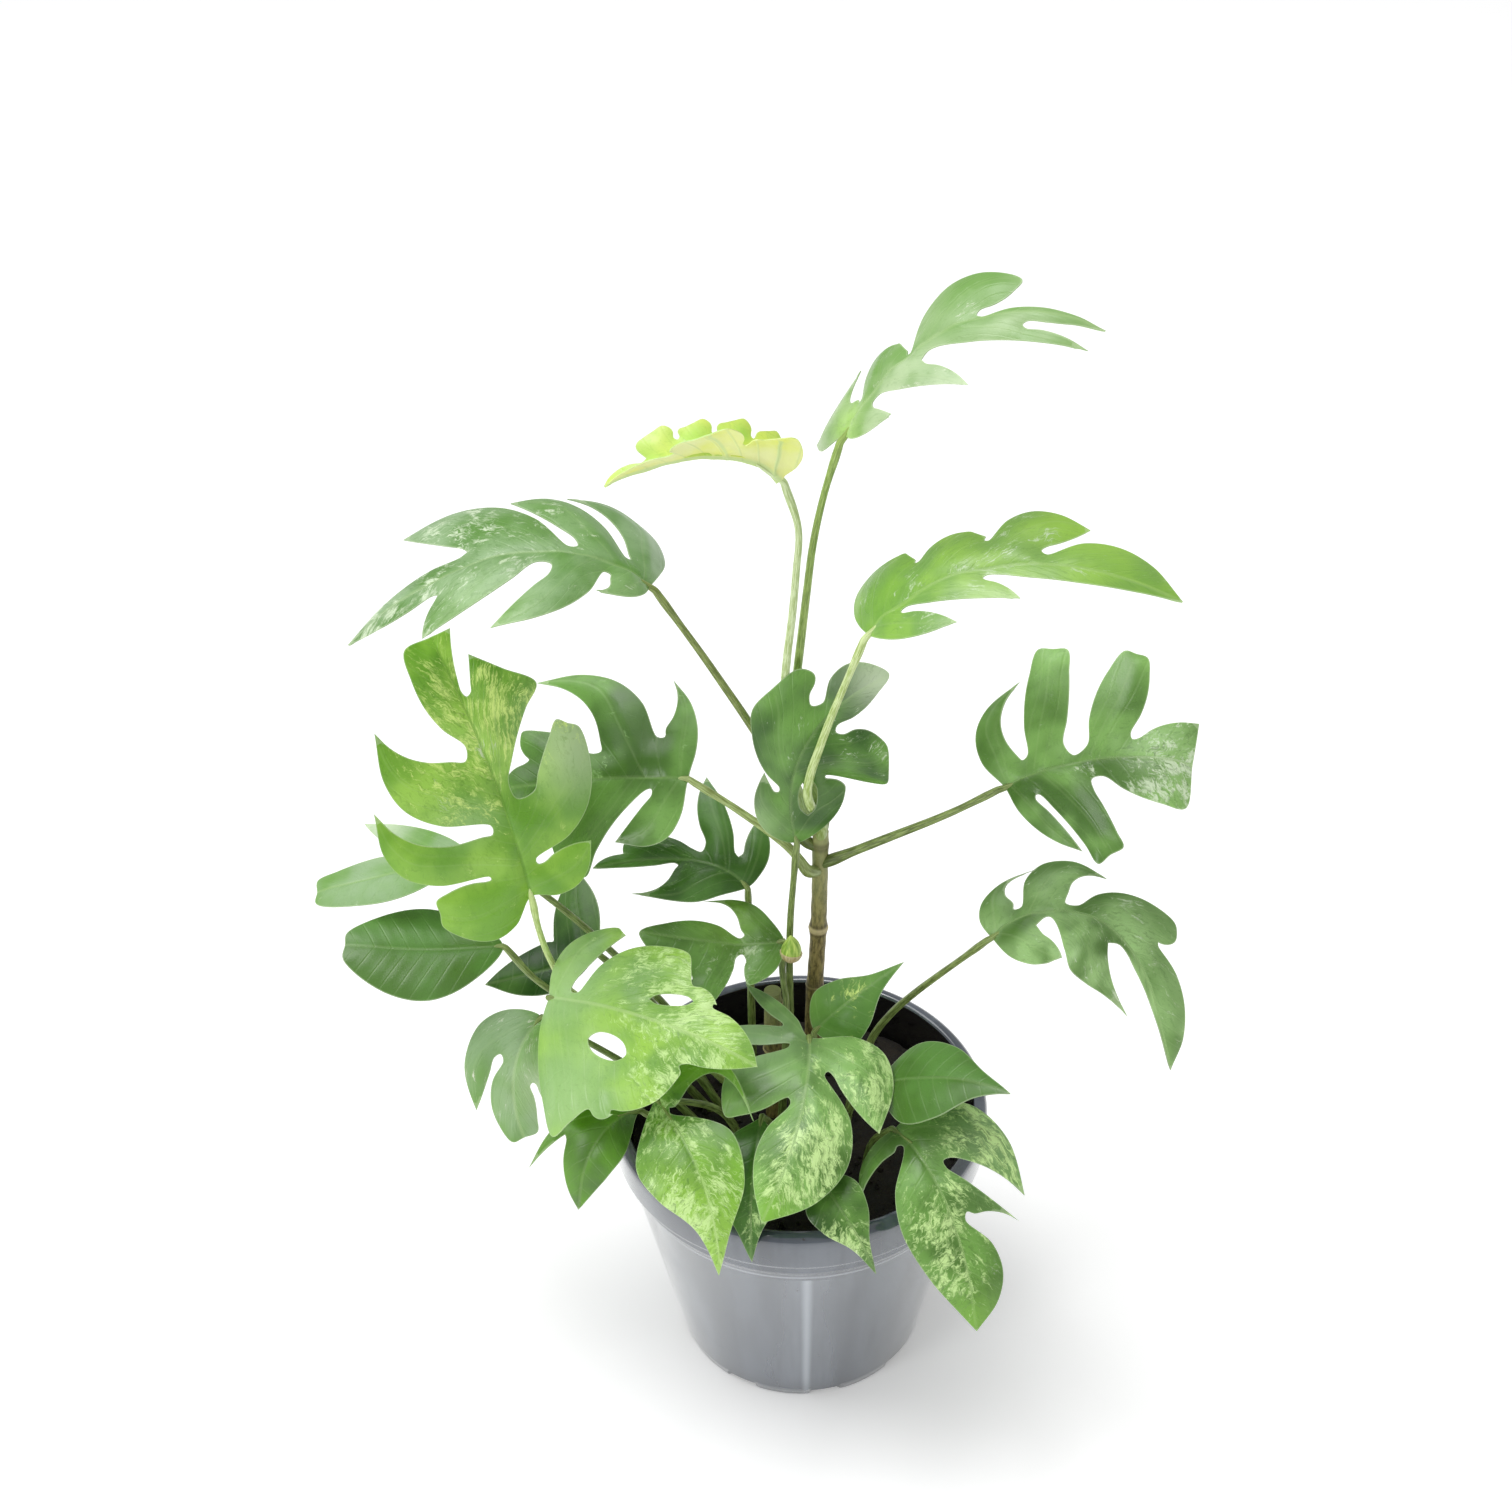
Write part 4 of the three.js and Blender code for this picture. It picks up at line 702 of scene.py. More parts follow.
# ---------- Node trees ----------
class Tree:
    """A material's node tree, written one call to a node."""

    def __init__(self, name):
        self.material = bpy.data.materials.new(name)
        self.material.use_nodes = True
        self.tree = self.material.node_tree
        self.tree.nodes.clear()

    def put(self, socket, value):
        if isinstance(value, bpy.types.NodeSocket):
            self.tree.links.new(value, socket)
        else:
            socket.default_value = value

    def node(self, kind, settings=None, **inputs):
        made = self.tree.nodes.new(kind)
        for key, value in (settings or {}).items():
            setattr(made, key, value)
        for key, value in inputs.items():
            self.put(made.inputs[key.replace("_", " ")], value)
        return made

    def math(self, operation, a, b=0.0):
        made = self.node("ShaderNodeMath", {"operation": operation})
        self.put(made.inputs[0], a)
        self.put(made.inputs[1], b)
        return made.outputs[0]

    def times(self, a, b):
        return self.math("MULTIPLY", a, b)

    def plus(self, a, b):
        return self.math("ADD", a, b)

    def apart(self, a, b):
        return self.math("ABSOLUTE", self.math("SUBTRACT", a, b))

    def fact(self, name, output="Fac"):
        """An attribute of the mesh."""
        return self.node("ShaderNodeAttribute", {"attribute_name": name}).outputs[output]

    def place(self):
        """The place on the object."""
        return self.node("ShaderNodeTexCoord").outputs["Object"]

    def split(self, vector):
        made = self.node("ShaderNodeSeparateXYZ", Vector=vector)
        return [made.outputs[k] for k in range(3)]

    def vector(self, x, y, z):
        return self.node("ShaderNodeCombineXYZ", X=x, Y=y, Z=z).outputs[0]

    def around(self, turn):
        """A turn as its cosine and sine, so that a texture closes up behind a round piece."""
        return self.math("COSINE", turn), self.math("SINE", turn)

    def noise(self, vector, scale, detail=3.0, rough=0.55, distort=0.0):
        numbers = {"Scale": scale, "Detail": detail, "Roughness": rough, "Distortion": distort}
        return self.node("ShaderNodeTexNoise", Vector=vector, **numbers).outputs["Fac"]

    def ramp(self, value, low, high, to_low=0.0, to_high=1.0):
        """Goes smoothly from one number to another as value goes from low to high."""
        made = self.node(
            "ShaderNodeMapRange", {"interpolation_type": "SMOOTHSTEP"},
            Value=value, From_Min=low, From_Max=high, To_Min=to_low, To_Max=to_high,
        )
        return made.outputs[0]

    def mix(self, share, a, b):
        """A blend of two colours; a text of six digits stands for its colour."""
        made = self.node("ShaderNodeMix", {"data_type": "RGBA"})
        self.put(made.inputs["Factor"], share)
        for socket, value in ((made.inputs[6], a), (made.inputs[7], b)):
            value = srgb(value) if isinstance(value, str) else value
            self.put(socket, (*value, 1.0) if isinstance(value, tuple) else value)
        return made.outputs[2]

    def finish(self, colour, roughness, bump=None, strength=0.3, distance=0.4 * MM, **constants):
        shader = self.node("ShaderNodeBsdfPrincipled")
        self.put(shader.inputs["Base Color"], colour)
        self.put(shader.inputs["Roughness"], roughness)
        for key, value in constants.items():
            shader.inputs[key.replace("_", " ")].default_value = value
        if bump is not None:
            made = self.node("ShaderNodeBump", Strength=strength, Distance=distance, Height=bump)
            self.put(shader.inputs["Normal"], made.outputs[0])
        out = self.node("ShaderNodeOutputMaterial")
        self.tree.links.new(shader.outputs[0], out.inputs["Surface"])
        return self.material


def leaf_tree(kind, name):
    """A leaf material's tree, with the coordinates that both its sides use."""
    tree = Tree(kind + name)
    flow, out, seed = tree.split(tree.fact("flow", "Vector"))
    flat_u, flat_v, _ = tree.split(tree.fact("flat", "Vector"))
    near_by = tree.split(tree.fact("near_by", "Vector"))
    return tree, flow, out, seed, tree.vector(flat_u, flat_v, seed), near_by


def side_vein_lines(tree, flow):
    """1 on the fine side veins, falling to 0 between them."""
    turn = tree.math("FRACT", tree.math("DIVIDE", flow, SIDE_VEINS))
    return tree.ramp(tree.apart(turn, 0.5), 0.0, 0.09, 1.0, 0.0)


def leaf_top_material(name):
    leaf_look = LEAF_LOOKS[name]
    dark, green, light = leaf_look["greens"]
    deep = tuple(0.75 * level for level in dark)
    tree, flow, out, seed, flat, (to_edge, to_vein, to_rib) = leaf_tree("leaf_top_", name)
    broad = tree.noise(flat, 45.0, 2.0)
    colour = tree.mix(tree.ramp(broad, 0.35, 0.68), dark, green)
    colour = tree.mix(tree.fact("tint", "Alpha"), colour, tree.fact("tint", "Color"))

    flecks, cream, _ = tree.split(tree.fact("speckle", "Vector"))
    bend = tree.times(tree.math("SUBTRACT", tree.noise(flat, 190.0), 0.5), 9 * MM)
    across = tree.times(tree.plus(flow, bend), 520.0)
    fine = tree.noise(tree.vector(across, tree.times(out, 260.0), seed), 1.0, 7.0, 0.75, 0.9)
    patchy = tree.math("SUBTRACT", tree.noise(flat, 130.0, 4.0, 0.6), 0.5)
    level = tree.plus(tree.plus(fine, tree.times(patchy, 0.7)), tree.times(flecks, 0.34))
    colour = tree.mix(tree.ramp(level, 0.68, 0.86, 0.0, 0.85), colour, light)

    blots = tree.vector(tree.times(across, 0.6), tree.times(out, 170.0), seed)
    blot = tree.plus(tree.noise(blots, 1.0, 6.0, 0.7, 0.8), tree.times(cream, 0.3))
    colour = tree.mix(tree.ramp(blot, 0.68, 0.88, 0.0, 0.7), colour, CREAM)

    specks = tree.noise(tree.vector(across, tree.times(out, 300.0), seed), 1.4, 5.0, 0.75, 0.6)
    share = tree.plus(tree.times(flecks, 0.55), 0.18)
    colour = tree.mix(tree.times(tree.ramp(specks, 0.5, 0.66), share), colour, deep)

    lines = side_vein_lines(tree, flow)
    rib_colour = VEIN_GREEN if leaf_look["rib"] > 0 else dark
    colour = tree.mix(tree.times(lines, 0.04), colour, VEIN_GREEN)
    colour = tree.mix(tree.ramp(to_vein, 0.1 * MM, 0.6 * MM, 0.06, 0.0), colour, VEIN_GREEN)
    colour = tree.mix(tree.ramp(to_rib, 0.2 * MM, 0.9 * MM, abs(leaf_look["rib"]), 0.0), colour, rib_colour)
    colour = tree.mix(tree.ramp(to_edge, 0.1 * MM, 0.4 * MM, 0.28, 0.0), colour, MARGIN_GREEN)

    cells = tree.noise(flat, 1500.0, 2.0)
    height = tree.plus(tree.times(lines, -0.8), tree.times(cells, 0.5))
    roughness = tree.ramp(broad, 0.3, 0.7, 0.27, 0.38)
    return tree.finish(colour, roughness, height, 0.25, 0.3 * MM, Specular_IOR_Level=0.45)


def leaf_under_material(name):
    _, green, light = LEAF_LOOKS[name]["greens"]
    pale = tuple(0.45 * a + 0.55 * b for a, b in zip(light, green))
    tree, flow, _, _, flat, (_, to_vein, to_rib) = leaf_tree("leaf_under_", name)
    colour = tree.mix(tree.ramp(tree.noise(flat, 60.0), 0.3, 0.7), green, pale)
    lines = side_vein_lines(tree, flow)
    colour = tree.mix(tree.times(lines, 0.35), colour, VEIN_GREEN)
    colour = tree.mix(tree.ramp(to_vein, 0.2 * MM, 1.0 * MM, 0.6, 0.0), colour, VEIN_GREEN)
    colour = tree.mix(tree.ramp(to_rib, 0.5 * MM, 1.6 * MM, 0.85, 0.0), colour, VEIN_GREEN)
    cells = tree.noise(flat, 1300.0, 2.0)
    height = tree.plus(lines, tree.times(cells, 0.4))
    roughness = tree.ramp(cells, 0.3, 0.7, 0.5, 0.62)
    return tree.finish(colour, roughness, height, 0.3, 0.3 * MM, Specular_IOR_Level=0.25)


# ---------- Stems and stalks ----------
STALK_SIDES = 14
STEM_SIDES = 20
STEM_STEP = 0.8 * MM
STEM_LUMPS = 0.18 * MM
KNEE = {"from_end": 20 * MM, "reach": 6 * MM, "swell": 0.22}  # the soft joint just under a blade
ROD_STEP = 2.5 * MM
STEM_JOIN_ABOVE = 120 * MM
STEM_JOIN_REACH = 22 * MM
STEM_JOIN_STEP = 1 * MM
STEM_JOIN_DROP = 4  # how many steps lower down it meets the stem's middle
STALK_LOOKS = {
    "upper_right": ("9fb85c", "dcecb0"), "big_left": ("b4cc70", "ddf0a8"), "new": ("a9bf74", "e0efc0"),
    "crown": ("75913f", "aac46c"), "mid": ("808f4a", "b9cc86"), "upper_left": ("5f7030", "94a45c"),
}
STALK_DEFAULT = ("5a6a30", "93a860")
# A stalk's last points, past the blade's base: how far on along the midrib, and how far under the blade.
STALK_END = ((0.0, 1.0 * MM), (4 * MM, 1.2 * MM), (12 * MM, 1.1 * MM))


def rod_rings(node):
    """A rod's ring centres and radii, from its lower end to its upper one."""
    points, triangles = welded(node)
    near = neighbours_of(triangles)

    def evenness(i):
        reach = np.linalg.norm(points[sorted(near[i])] - points[i], axis=1)
        return reach.std() / reach.mean()

    start = min(near, key=evenness)
    seen, level, centres, radii = {start}, {start}, [], []
    while True:
        level = set().union(*(near[i] for i in level)) - seen
        if len(level) <= 1:
            break
        seen |= level
        ring = points[sorted(level)]
        centres.append(ring.mean(axis=0))
        radii.append(np.linalg.norm(ring - centres[-1], axis=1).mean())
    centres, radii = np.array(centres), np.array(radii)
    if centres[0, 2] > centres[-1, 2]:
        centres, radii = centres[::-1], radii[::-1]
    return centres, radii


def closed_skin(rings, first, last):
    """A skin through rings of points, gathered into one point before the first ring and after the last."""
    sides = len(rings[0])
    points = np.vstack([*rings, first, last])
    start, end = len(points) - 2, len(points) - 1
    faces = []
    for i in range(sides):
        j = (i + 1) % sides
        faces.append((j, i, start))
        for a in range(0, start - sides, sides):
            faces.append((a + i, a + j, a + sides + j, a + sides + i))
        faces.append((start - sides + i, start - sides + j, end))
    return points, faces


def turns_of(sides):
    return np.arange(sides) * 2 * math.pi / sides


def tube(centres, radii, sides):
    """A round skin over a path, with each point's length along it, share of that length and turn."""
    along = np.gradient(centres, axis=0)
    along /= np.linalg.norm(along, axis=1, keepdims=True)
    normal = np.cross(along[0], (0.3, 1, 0.1))
    turns = turns_of(sides)
    circle = np.column_stack([np.cos(turns), np.sin(turns)])
    rings = []
    for centre, direction, radius in zip(centres, along, radii):
        normal = normal - direction * (normal @ direction)
        normal /= np.linalg.norm(normal)
        rings.append(centre + radius * circle @ np.array([normal, np.cross(direction, normal)]))
    points, faces = closed_skin(rings, centres[0], centres[-1])
    lengths = lengths_along(centres)
    reach = np.append(np.repeat(lengths, sides), [0, lengths[-1]])
    turn = np.append(np.tile(turns, len(centres)), [0, 0])
    return points, faces, np.column_stack([reach, reach / lengths[-1], turn])


def resample(centres, radii, step):
    """A rod's path and radius at close, smooth steps."""
    line = smooth_line(np.column_stack([centres, radii]), step)
    return line[:, :3], line[:, 3]


def joined_to_stem(centres, radii):
    """Runs a stalk that starts beside the main stem on into it, with a slightly wider foot."""
    axis, _ = rod_rings("stem_main")
    axis = smooth_line(axis, STEM_JOIN_STEP)
    apart = np.linalg.norm(axis - centres[0], axis=1)
    if centres[0][2] < STEM_JOIN_ABOVE or apart.min() > STEM_JOIN_REACH:
        return centres, radii
    meet = axis[max(0, apart.argmin() - STEM_JOIN_DROP)]
    return np.vstack([meet, centres]), np.concatenate([[radii[0] * 1.1], [radii[0] * 1.25], radii[1:]])


def stalk(name):
    """A leaf's stalk, which swells into a soft joint just under the blade and runs into its midrib."""
    centres, radii = joined_to_stem(*rod_rings("petiole_" + name))
    centres, radii = resample(centres, radii, ROD_STEP)
    points, _, _, _, chain, face = leaf_skin(name)
    base = points[chain[0]]
    onward = points[chain[1]] - base
    onward /= np.linalg.norm(onward)
    ends = [base + onward * run - face * under for run, under in STALK_END]
    thin = [radii[-1] * 0.95, radii[-1] * 0.75, 0.35 * MM]
    centres, radii = resample(np.vstack([centres, *ends]), np.append(radii, thin), ROD_STEP)
    reach = lengths_along(centres)
    knee = reach[-1] - KNEE["from_end"]
    radii = radii * (1 + KNEE["swell"] * bell(reach - knee, KNEE["reach"]))
    points, faces, rod = tube(centres, radii, STALK_SIDES)
    node = "petiole_" + name
    material = stalk_material("stalk_" + name, *STALK_LOOKS.get(name, STALK_DEFAULT))
    return piece("stalk_" + name, points, faces, [material], [node], facts={"rod": rod})


def stalk_material(name, shade, lit):
    tree = Tree(name)
    reach, share, turn = tree.split(tree.fact("rod", "Vector"))
    fine = tree.noise(tree.vector(tree.times(reach, 60.0), *tree.around(turn)), 3.0, 4.0, 0.6)
    colour = tree.mix(tree.ramp(fine, 0.35, 0.65), shade, lit)
    foot = tuple(level * 0.6 for level in srgb(shade))
    colour = tree.mix(tree.ramp(share, 0.0, 0.25, 0.55, 0.0), colour, foot)
    colour = tree.mix(tree.ramp(share, 0.86, 1.0, 0.0, 0.6), colour, lit)
    grain = tree.noise(tree.place(), 900.0, 3.0)
    return tree.finish(colour, tree.ramp(grain, 0.3, 0.7, 0.36, 0.5), grain, 0.15, 0.2 * MM)


def stem(node, name):
    """A stem with ringed joints."""
    centres, radii = rod_rings(node)
    slim = np.interp(np.arange(len(radii)), [0, len(radii) - 1], [radii[0], radii[-1]])
    swell = np.maximum(radii - slim, 0)
    centres, slim = resample(centres, slim, STEM_STEP)
    rings = np.interp(np.linspace(0, 1, len(slim)), np.linspace(0, 1, len(swell)), swell)
    sharp = rings**2 / (swell.max() + 1e-9)
    points, faces, rod = tube(centres, slim + 1.5 * sharp, STEM_SIDES)
    for i, point in enumerate(points):
        out = point - centres[min(i // STEM_SIDES, len(centres) - 1)]
        size = np.linalg.norm(out)
        if size > 1e-6:
            points[i] = point + out / size * noise.noise(Vector(point) * 180) * STEM_LUMPS
    ring = np.append(np.repeat(sharp / (sharp.max() + 1e-9), STEM_SIDES), [0, 0])
    facts = {"rod": rod, "ring": ring}
    return piece(name, points, faces, [stem_material(name)], [node], facts=facts)


def stem_material(name):
    tree = Tree(name)
    reach, share, turn = tree.split(tree.fact("rod", "Vector"))
    ring = tree.fact("ring")
    fine = tree.noise(tree.vector(tree.times(reach, 90.0), *tree.around(turn)), 2.5, 5.0, 0.65)
    colour = tree.mix(tree.ramp(fine, 0.35, 0.65), "5c5028", "a09058")
    colour = tree.mix(tree.ramp(share, 0.6, 1.0, 0.0, 0.7), colour, "a3ad72")
    colour = tree.mix(tree.ramp(ring, 0.15, 0.4, 0.0, 0.5), colour, "40341c")
    colour = tree.mix(tree.ramp(ring, 0.45, 0.8, 0.0, 0.85), colour, "d0c090")
    specks = tree.noise(tree.place(), 700.0, 4.0, 0.7)
    colour = tree.mix(tree.ramp(specks, 0.6, 0.72, 0.0, 0.5), colour, "3b3a20")
    return tree.finish(colour, tree.ramp(specks, 0.3, 0.7, 0.45, 0.62), specks, 0.35, 0.3 * MM)


for leaf in LEAF_LOOKS:
    blade(leaf)
    stalk(leaf)
STEMS = {"stem_main": "main_stem", "stem_stub": "short_stem", "stem_front": "front_stem"}
for node_name, piece_name in STEMS.items():
    stem(node_name, piece_name)


# ---------- Bud ----------
BUD_SIDES = 18
BUD_RINGS = 24
BUD_SWAY = 0.6 * MM
SHEATH_RINGS = 9
SHEATH_TEAR = {"from_share": 0.55, "height": 2.6 * MM}


def bud():
    """The pointed bud of the next leaf, and the dry sheath it comes out of."""
    low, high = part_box("bud")
    middle = (low + high) / 2
    heights = np.linspace(0, 1, BUD_RINGS)
    sway = BUD_SWAY * np.sin(2.6 * heights)
    centres = np.column_stack([middle.x + sway, middle.y + 0 * heights, low.z + (high.z - low.z) * heights])
    full = np.sin(np.pi * np.clip(heights, 0.03, 0.985) ** 0.8) ** 0.7
    radii = 0.5 * (high.x - low.x) * full * (1.35 - 0.35 * heights)
    points, faces, rod = tube(centres, radii, BUD_SIDES)
    skin = stalk_material("bud_skin", "80a838", "c8e070")
    piece("new_bud", points, faces, [skin], ["bud"], facts={"rod": rod})

    lower = centres[:SHEATH_RINGS] + (0, 0.3 * MM, -0.6 * MM)
    loose = radii[:SHEATH_RINGS] * 1.06 + 0.25 * MM
    points, faces, rod = tube(lower, loose, BUD_SIDES)
    torn = np.maximum(0, rod[:, 1] - SHEATH_TEAR["from_share"])
    points[:, 2] += SHEATH_TEAR["height"] * np.sin(rod[:, 2]) * torn
    skin = stalk_material("sheath_skin", "a89060", "e0d0a8")
    piece("bud_sheath", points, faces, [skin], [], facts={"rod": rod})


# ---------- Pot ----------
POT_SIDES = 216
# The turn of the painted highlight that runs down the wall at the mould seam, and the height where it stops.
POT_SEAM_HIGHLIGHT_TURN = math.radians(2)
POT_SEAM_HIGHLIGHT_TOP = 92 * MM
POT_LEDGE_HIGHLIGHTS = ((103.8 * MM, 1.4 * MM), (93.5 * MM, 1.0 * MM))  # height of each ledge that gets a painted highlight line, and the line's reach
FOOT_BAND = 3.6 * MM
ARCH_COUNT = 9
ARCH_TURN = math.radians(11)
ARCH_HALF = math.radians(6.5)
ARCH_EASE = math.radians(1)
ARCH_DEPTH = 1.6 * MM
DRAINS = {"count": 6, "reach": 33 * MM, "radius": 4.5 * MM, "from": -8 * MM, "to": 14 * MM, "sides": 24}


def pot():
    """The thin nursery pot: tapered wall, stepped band under a rolled rim, and a foot with arches."""
    points = welded("pot")[0] / MM
    reach, height = np.hypot(points[:, 0], points[:, 1]), points[:, 2]
    tall, rim = height.max(), reach.max()
    foot = reach[height < 0.1].max()
    shoulder = (height > 0.75 * tall) & (height < 0.83 * tall)
    step = height[shoulder].min()
    waist = reach[shoulder & (height < step + 0.1)].max()
    band = 0.863 * tall
    # Radius and height in mm, from the middle of the underside out, up the outside and down the inside.
    profile = [
        (0.0, 0.0), (10.8, 0.0), (11.8, 0.2), (13.4, 3.2), (14, 3.5),
        (foot - 4, 3.5), (foot - 3.6, 0.3), (foot - 3.2, 0.0), (foot - 0.7, 0.0),
        (foot - 0.1, 0.5), (foot + 0.5, 3.0), (foot + 0.9, 3.8), (foot + 1.2, 5.5), (foot + 1.5, 7.2),
        (waist - 0.6, step - 2.0), (waist + 0.1, step - 0.4), (waist + 0.8, step + 0.6),
        (waist + 1.0, step + 1.6), (waist + 1.1, band - 1.4), (waist + 1.4, band - 0.6),
        (rim - 1.2, band - 0.3), (rim - 0.6, band + 0.2), (rim - 0.4, band + 1.2), (rim - 0.1, tall - 6),
        (rim, tall - 3.4), (rim - 0.2, tall - 2.2), (rim - 0.9, tall - 1.1), (rim - 2.0, tall - 0.35),
        (rim - 3.2, tall), (rim - 4.4, tall - 0.1), (rim - 5.2, tall - 0.6), (rim - 5.6, tall - 1.6),
        (rim - 5.7, tall - 3), (rim - 6.1, band + 1), (waist - 1.6, band - 2.5), (waist - 1.9, step),
        (foot - 1.1, 9), (foot - 2.7, 6.4), (foot - 8, 6.0), (0.0, 6.0),
    ]
    profile = np.array(profile) * MM
    arches = np.array([foot_arch(turn) for turn in turns_of(POT_SIDES)])
    rings = []
    for radius, z in profile[1:-1]:
        arched = radius > (foot - 1) * MM and z < FOOT_BAND
        rings.append(level_ring(radius - arched * ARCH_DEPTH * arches, z, POT_SIDES))
    points, faces = closed_skin(rings, (0, 0, profile[0, 1]), (0, 0, profile[-1, 1]))
    inside_from = profile[:, 1].argmax() + 3
    inner = [float(k >= inside_from) for k in range(1, len(profile) - 1) for _ in arches] + [0.0, 1.0]
    # Painted shade: 1 over the foot's arch openings below the foot band, where the recess is darkened near
    # black.
    arch_shade = [float(z < FOOT_BAND) * foot_arch(math.atan2(y, x)) for x, y, z in points]
    facts = {"inner": inner, "arch_shade": arch_shade}
    made = piece("pot_shell", points, faces, [pot_material()], ["pot"], facts=facts, sharp=40)
    drill_drains(made)
    return made


def level_ring(radius, z, sides):
    turns = turns_of(sides)
    return np.column_stack([radius * np.cos(turns), radius * np.sin(turns), np.full(sides, z)])


def foot_arch(turn):
    """1 over each of the foot's openings, 0 where the foot stands."""
    front = -math.pi / 2 + ARCH_TURN
    share = ((turn - front) / (2 * math.pi) * ARCH_COUNT + 0.5) % 1
    away = abs(share - 0.5) * 2 * math.pi / ARCH_COUNT
    return 1 - min(1, max(0, (away - ARCH_HALF) / ARCH_EASE))


def drill_drains(shell):
    """Cuts the drain holes through the pot's floor."""
    points, faces = [], []
    for x, y, _ in level_ring(DRAINS["reach"], 0, DRAINS["count"]):
        path = np.array([(x, y, z) for z in (DRAINS["from"], 0.0, DRAINS["to"])])
        more, sides, _ = tube(path, [DRAINS["radius"]] * len(path), DRAINS["sides"])
        faces.extend(tuple(i + len(points) for i in side) for side in sides)
        points.extend(more.tolist())
    mesh = bpy.data.meshes.new("drains")
    mesh.from_pydata(points, [], faces)
    tool = add_object("drains", mesh)
    cut = shell.modifiers.new("drains", "BOOLEAN")
    cut.object = tool
    cut.solver = "EXACT"
    bpy.context.view_layer.objects.active = shell
    with bpy.context.temp_override(object=shell, active_object=shell, selected_objects=[shell]):
        bpy.ops.object.modifier_apply(modifier=cut.name)
    bpy.data.objects.remove(tool)


def pot_material():
    tree = Tree("pot_plastic")
    x, y, z = tree.split(tree.place())
    turn = tree.math("ARCTAN2", x, tree.times(y, -1.0))
    broad = tree.noise(tree.vector(*tree.around(turn), tree.times(z, 2.5)), 4.2)
    colour = tree.mix(tree.ramp(broad, 0.36, 0.64), "3c4450", "565e6a")
    # Painted highlight: a soft light band and a thin bright line down the wall at the mould seam, up to just
    # under the step below the rim.
    seam_highlight_apart = tree.apart(turn, POT_SEAM_HIGHLIGHT_TURN)
    below = tree.ramp(z, POT_SEAM_HIGHLIGHT_TOP - 1 * MM, POT_SEAM_HIGHLIGHT_TOP, 1.0, 0.0)
    colour = tree.mix(tree.times(tree.ramp(seam_highlight_apart, 0.0, 0.35, 0.18, 0.0), below), colour, "a8b0b8")
    colour = tree.mix(tree.times(tree.ramp(seam_highlight_apart, 0.0, 0.045, 0.4, 0.0), below), colour, "d0d8e0")
    # Painted highlights: a pale line along each ledge under the rim.
    for ledge, high in POT_LEDGE_HIGHLIGHTS:
        colour = tree.mix(tree.ramp(tree.apart(z, ledge), 0.0, high, 0.5, 0.0), colour, "b9bec6")
    # Painted shade: darker towards the foot, over the lowest 16 mm.
    colour = tree.mix(tree.ramp(z, 0.0, 16 * MM, 0.45, 0.0), colour, "404448")
    # Painted shade: the foot's arch recesses darkened near black.
    colour = tree.mix(tree.ramp(tree.fact("arch_shade"), 0.2, 0.8, 0.0, 0.9), colour, "1c1e20")
    colour = tree.mix(tree.ramp(tree.fact("inner"), 0.4, 0.6), colour, "161515")
    dust = tree.noise(tree.place(), 320.0, 2.0, 0.5)
    colour = tree.mix(tree.ramp(dust, 0.75, 0.77, 0.0, 0.85), colour, "2c2b29")
    scuff = tree.noise(tree.place(), 50.0, 4.0, 0.6)
    gloss = {"Specular_IOR_Level": 0.5, "Coat_Weight": 1.0, "Coat_IOR": 1.65, "Coat_Roughness": 0.07}
    return tree.finish(colour, tree.ramp(scuff, 0.3, 0.7, 0.12, 0.24), scuff, 0.03, 0.3 * MM, **gloss)


# ---------- Compost ----------
SOIL_RINGS = 64
SOIL_SIDES = 200
SOIL_SINK = {"from_share": 0.93, "depth": 2.2 * MM}  # where and how far the edge drops to the wall
CRUMBS = {"seed": 11, "count": 420, "smallest": 0.5 * MM, "spread": 1.7 * MM}


def soil():
    """Lumpy peat with loose crumbs on it."""
    points, _ = welded("soil")
    reach, height = np.hypot(points[:, 0], points[:, 1]), points[:, 2]
    top = height > 90 * MM
    edge = reach[top].max() - 0.3 * MM
    level = np.median(height[top])
    foot = reach[height < 8 * MM].max()
    below = ((foot - 3 * MM, 6.6 * MM), (foot, 8 * MM), (edge - 0.5 * MM, level - 8 * MM))
    rings = [level_ring(radius, z, SOIL_SIDES) for radius, z in below]
    for k in range(SOIL_RINGS, 0, -1):
        share = (k / SOIL_RINGS) ** 0.9
        ring = level_ring(edge * share, level, SOIL_SIDES)
        ring[:, 2] += [lumps(x, y) for x, y, _ in ring]
        past = max(0, share - SOIL_SINK["from_share"]) / (1 - SOIL_SINK["from_share"])
        ring[:, 2] -= SOIL_SINK["depth"] * past
        rings.append(ring)
    spots, faces = closed_skin(rings, (0, 0, 6.6 * MM), (0, 0, level + lumps(0, 0)))
    spots = spots.tolist()
    draw = np.random.default_rng(CRUMBS["seed"])
    for _ in range(CRUMBS["count"]):
        radius = edge * SOIL_SINK["from_share"] * math.sqrt(draw.random())
        turn = draw.random() * 2 * math.pi
        x, y = radius * math.cos(turn), radius * math.sin(turn)
        size = CRUMBS["smallest"] + CRUMBS["spread"] * draw.random() ** 2
        add_crumb(spots, faces, (x, y, level + lumps(x, y) + 0.25 * size), size, draw)
    return piece("compost", spots, faces, [soil_material()], ["soil"], sharp=180)


def lumps(x, y):
    """How far the compost stands above its level at a spot."""
    spot = Vector((x, y, 0.3))
    return (
        1.8 * MM * noise.noise(spot * 28)
        + 1.3 * MM * noise.noise(spot * 95)
        + 0.8 * MM * noise.turbulence(spot * 260, 3, False)
    )


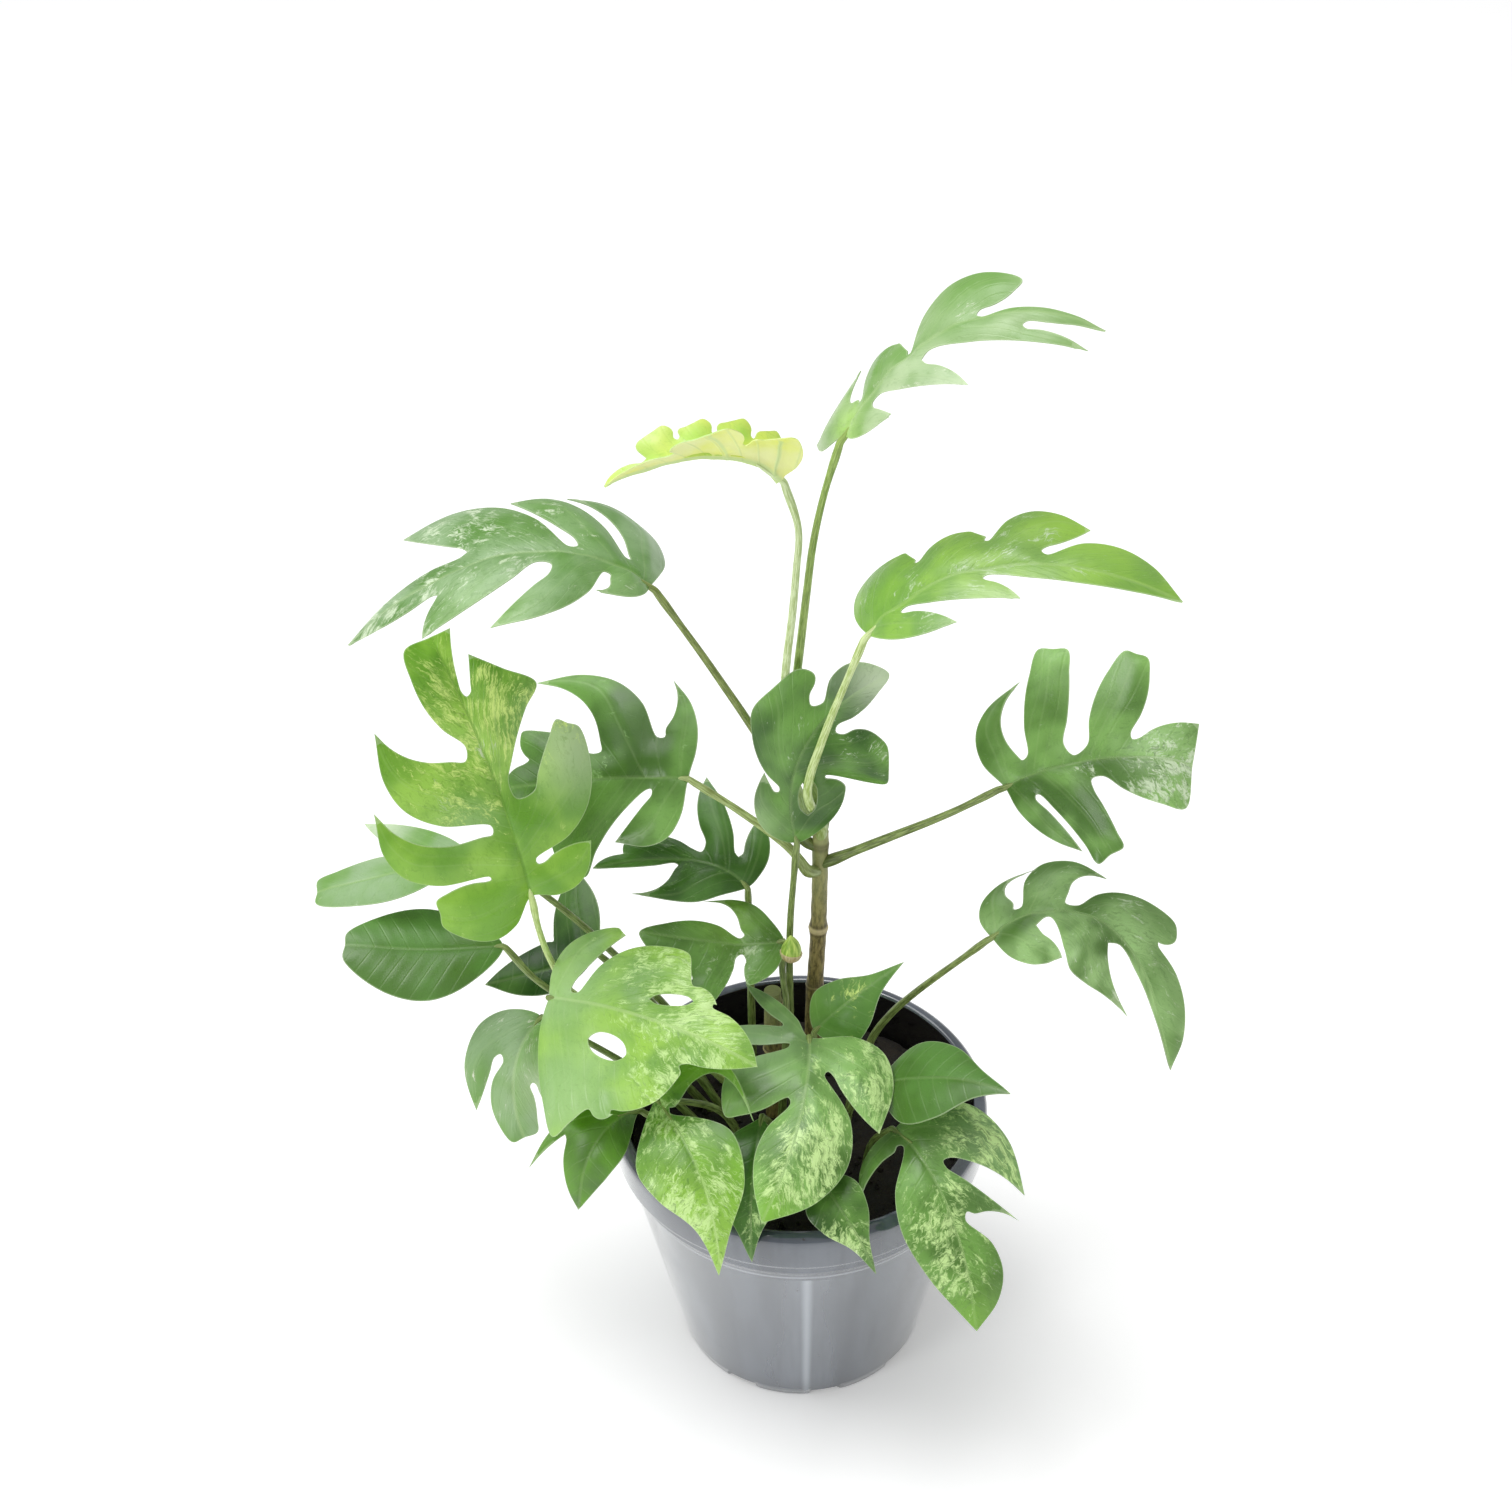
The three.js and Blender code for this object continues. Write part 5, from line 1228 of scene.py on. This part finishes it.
def add_crumb(spots, faces, centre, size, draw):
    """A small broken lump: an eight-sided stone with uneven corners."""
    corners = [(1, 0, 0), (-1, 0, 0), (0, 1, 0), (0, -1, 0), (0, 0, 1), (0, 0, -1)]
    sides = [(0, 2, 4), (2, 1, 4), (1, 3, 4), (3, 0, 4), (2, 0, 5), (1, 2, 5), (3, 1, 5), (0, 3, 5)]
    first = len(spots)
    spin = Matrix.Rotation(draw.random() * 6.28, 3, "Z") @ Matrix.Rotation(draw.random() * 6.28, 3, "X")
    for corner in corners:
        reach = size * (0.6 + 0.6 * draw.random())
        spots.append(tuple(Vector(centre) + spin @ Vector(corner) * reach))
    faces.extend(tuple(first + i for i in side) for side in sides)


def soil_material():
    tree = Tree("compost")
    grain = tree.noise(tree.place(), 420.0, 6.0, 0.75)
    colour = tree.mix(tree.ramp(grain, 0.35, 0.7), "0c0a08", "241c14")
    colour = tree.mix(tree.ramp(tree.noise(tree.place(), 60.0), 0.5, 0.75, 0.0, 0.3), colour, "3c3020")
    fibre = tree.noise(tree.place(), 900.0, 4.0, 0.8)
    colour = tree.mix(tree.ramp(fibre, 0.7, 0.78, 0.0, 0.5), colour, "786448")
    return tree.finish(colour, tree.ramp(grain, 0.3, 0.7, 0.75, 0.95), grain, 0.9, 1.2 * MM)


bud()
pot()
soil()


# ---------- Floor, light and camera ----------
FLOOR_HALF = 6.0
SKY_STRENGTH = 0.48


def stage_floor():
    corners = [(x * FLOOR_HALF, y * FLOOR_HALF, 0) for x, y in ((-1, -1), (1, -1), (1, 1), (-1, 1))]
    mesh = bpy.data.meshes.new("floor")
    mesh.from_pydata(corners, [], [(0, 1, 2, 3)])
    tree = Tree("floor")
    cloud = tree.noise(tree.place(), 3.0, 2.0)
    colour = tree.mix(cloud, (0.93, 0.93, 0.93), (0.95, 0.95, 0.95))
    glow = {"Emission_Color": (1, 1, 1, 1), "Emission_Strength": 0.23}
    mesh.materials.append(tree.finish(colour, tree.ramp(cloud, 0.3, 0.7, 0.6, 0.65), **glow))
    add_object("floor", mesh)


def light(name, kind, at, toward, power, **settings):
    data = bpy.data.lights.new(name, kind)
    data.energy = power
    for key, value in settings.items():
        setattr(data, key, value)
    lamp = add_object(name, data)
    lamp.location = at
    lamp.rotation_euler = (Vector(toward) - Vector(at)).to_track_quat("-Z", "Y").to_euler()


def studio():
    world = bpy.data.worlds.new("studio")
    world.use_nodes = True
    sky = world.node_tree.nodes["Background"]
    sky.inputs["Color"].default_value = (1, 1, 1, 1)
    sky.inputs["Strength"].default_value = SKY_STRENGTH
    bpy.context.scene.world = world
    light("sky_panel", "SUN", (-0.6, 0.15, 1.0), (0, 0, 0), 0.8, angle=math.radians(40))
    light("top_box", "AREA", (-0.3, 0.0, 2.6), (0, 0, 0.2), 26, shape="DISK", size=1.5)
    light("side_box", "AREA", (-1.1, -0.9, 0.7), (0, 0, 0.1), 4, shape="DISK", size=0.5)


def camera():
    yaw, pitch, roll = (CAMERA[key] for key in ("yaw", "pitch", "roll"))
    ahead = Vector((math.sin(yaw) * math.cos(pitch), math.cos(yaw) * math.cos(pitch), -math.sin(pitch)))
    right = Vector((math.cos(yaw), -math.sin(yaw), 0))
    up = right.cross(ahead)
    tilted = right * math.cos(roll) + up * math.sin(roll)
    upward = up * math.cos(roll) - right * math.sin(roll)
    data = bpy.data.cameras.new("camera")
    data.lens = CAMERA["lens"]
    data.sensor_width = CAMERA["sensor"]
    data.clip_end = 30
    made = add_object("camera", data)
    made.matrix_world = Matrix((tilted, upward, -ahead)).transposed().to_4x4()
    made.location = CAMERA["at"]
    bpy.context.scene.camera = made


stage_floor()
studio()
camera()
bpy.context.scene.view_settings.view_transform = "Standard"
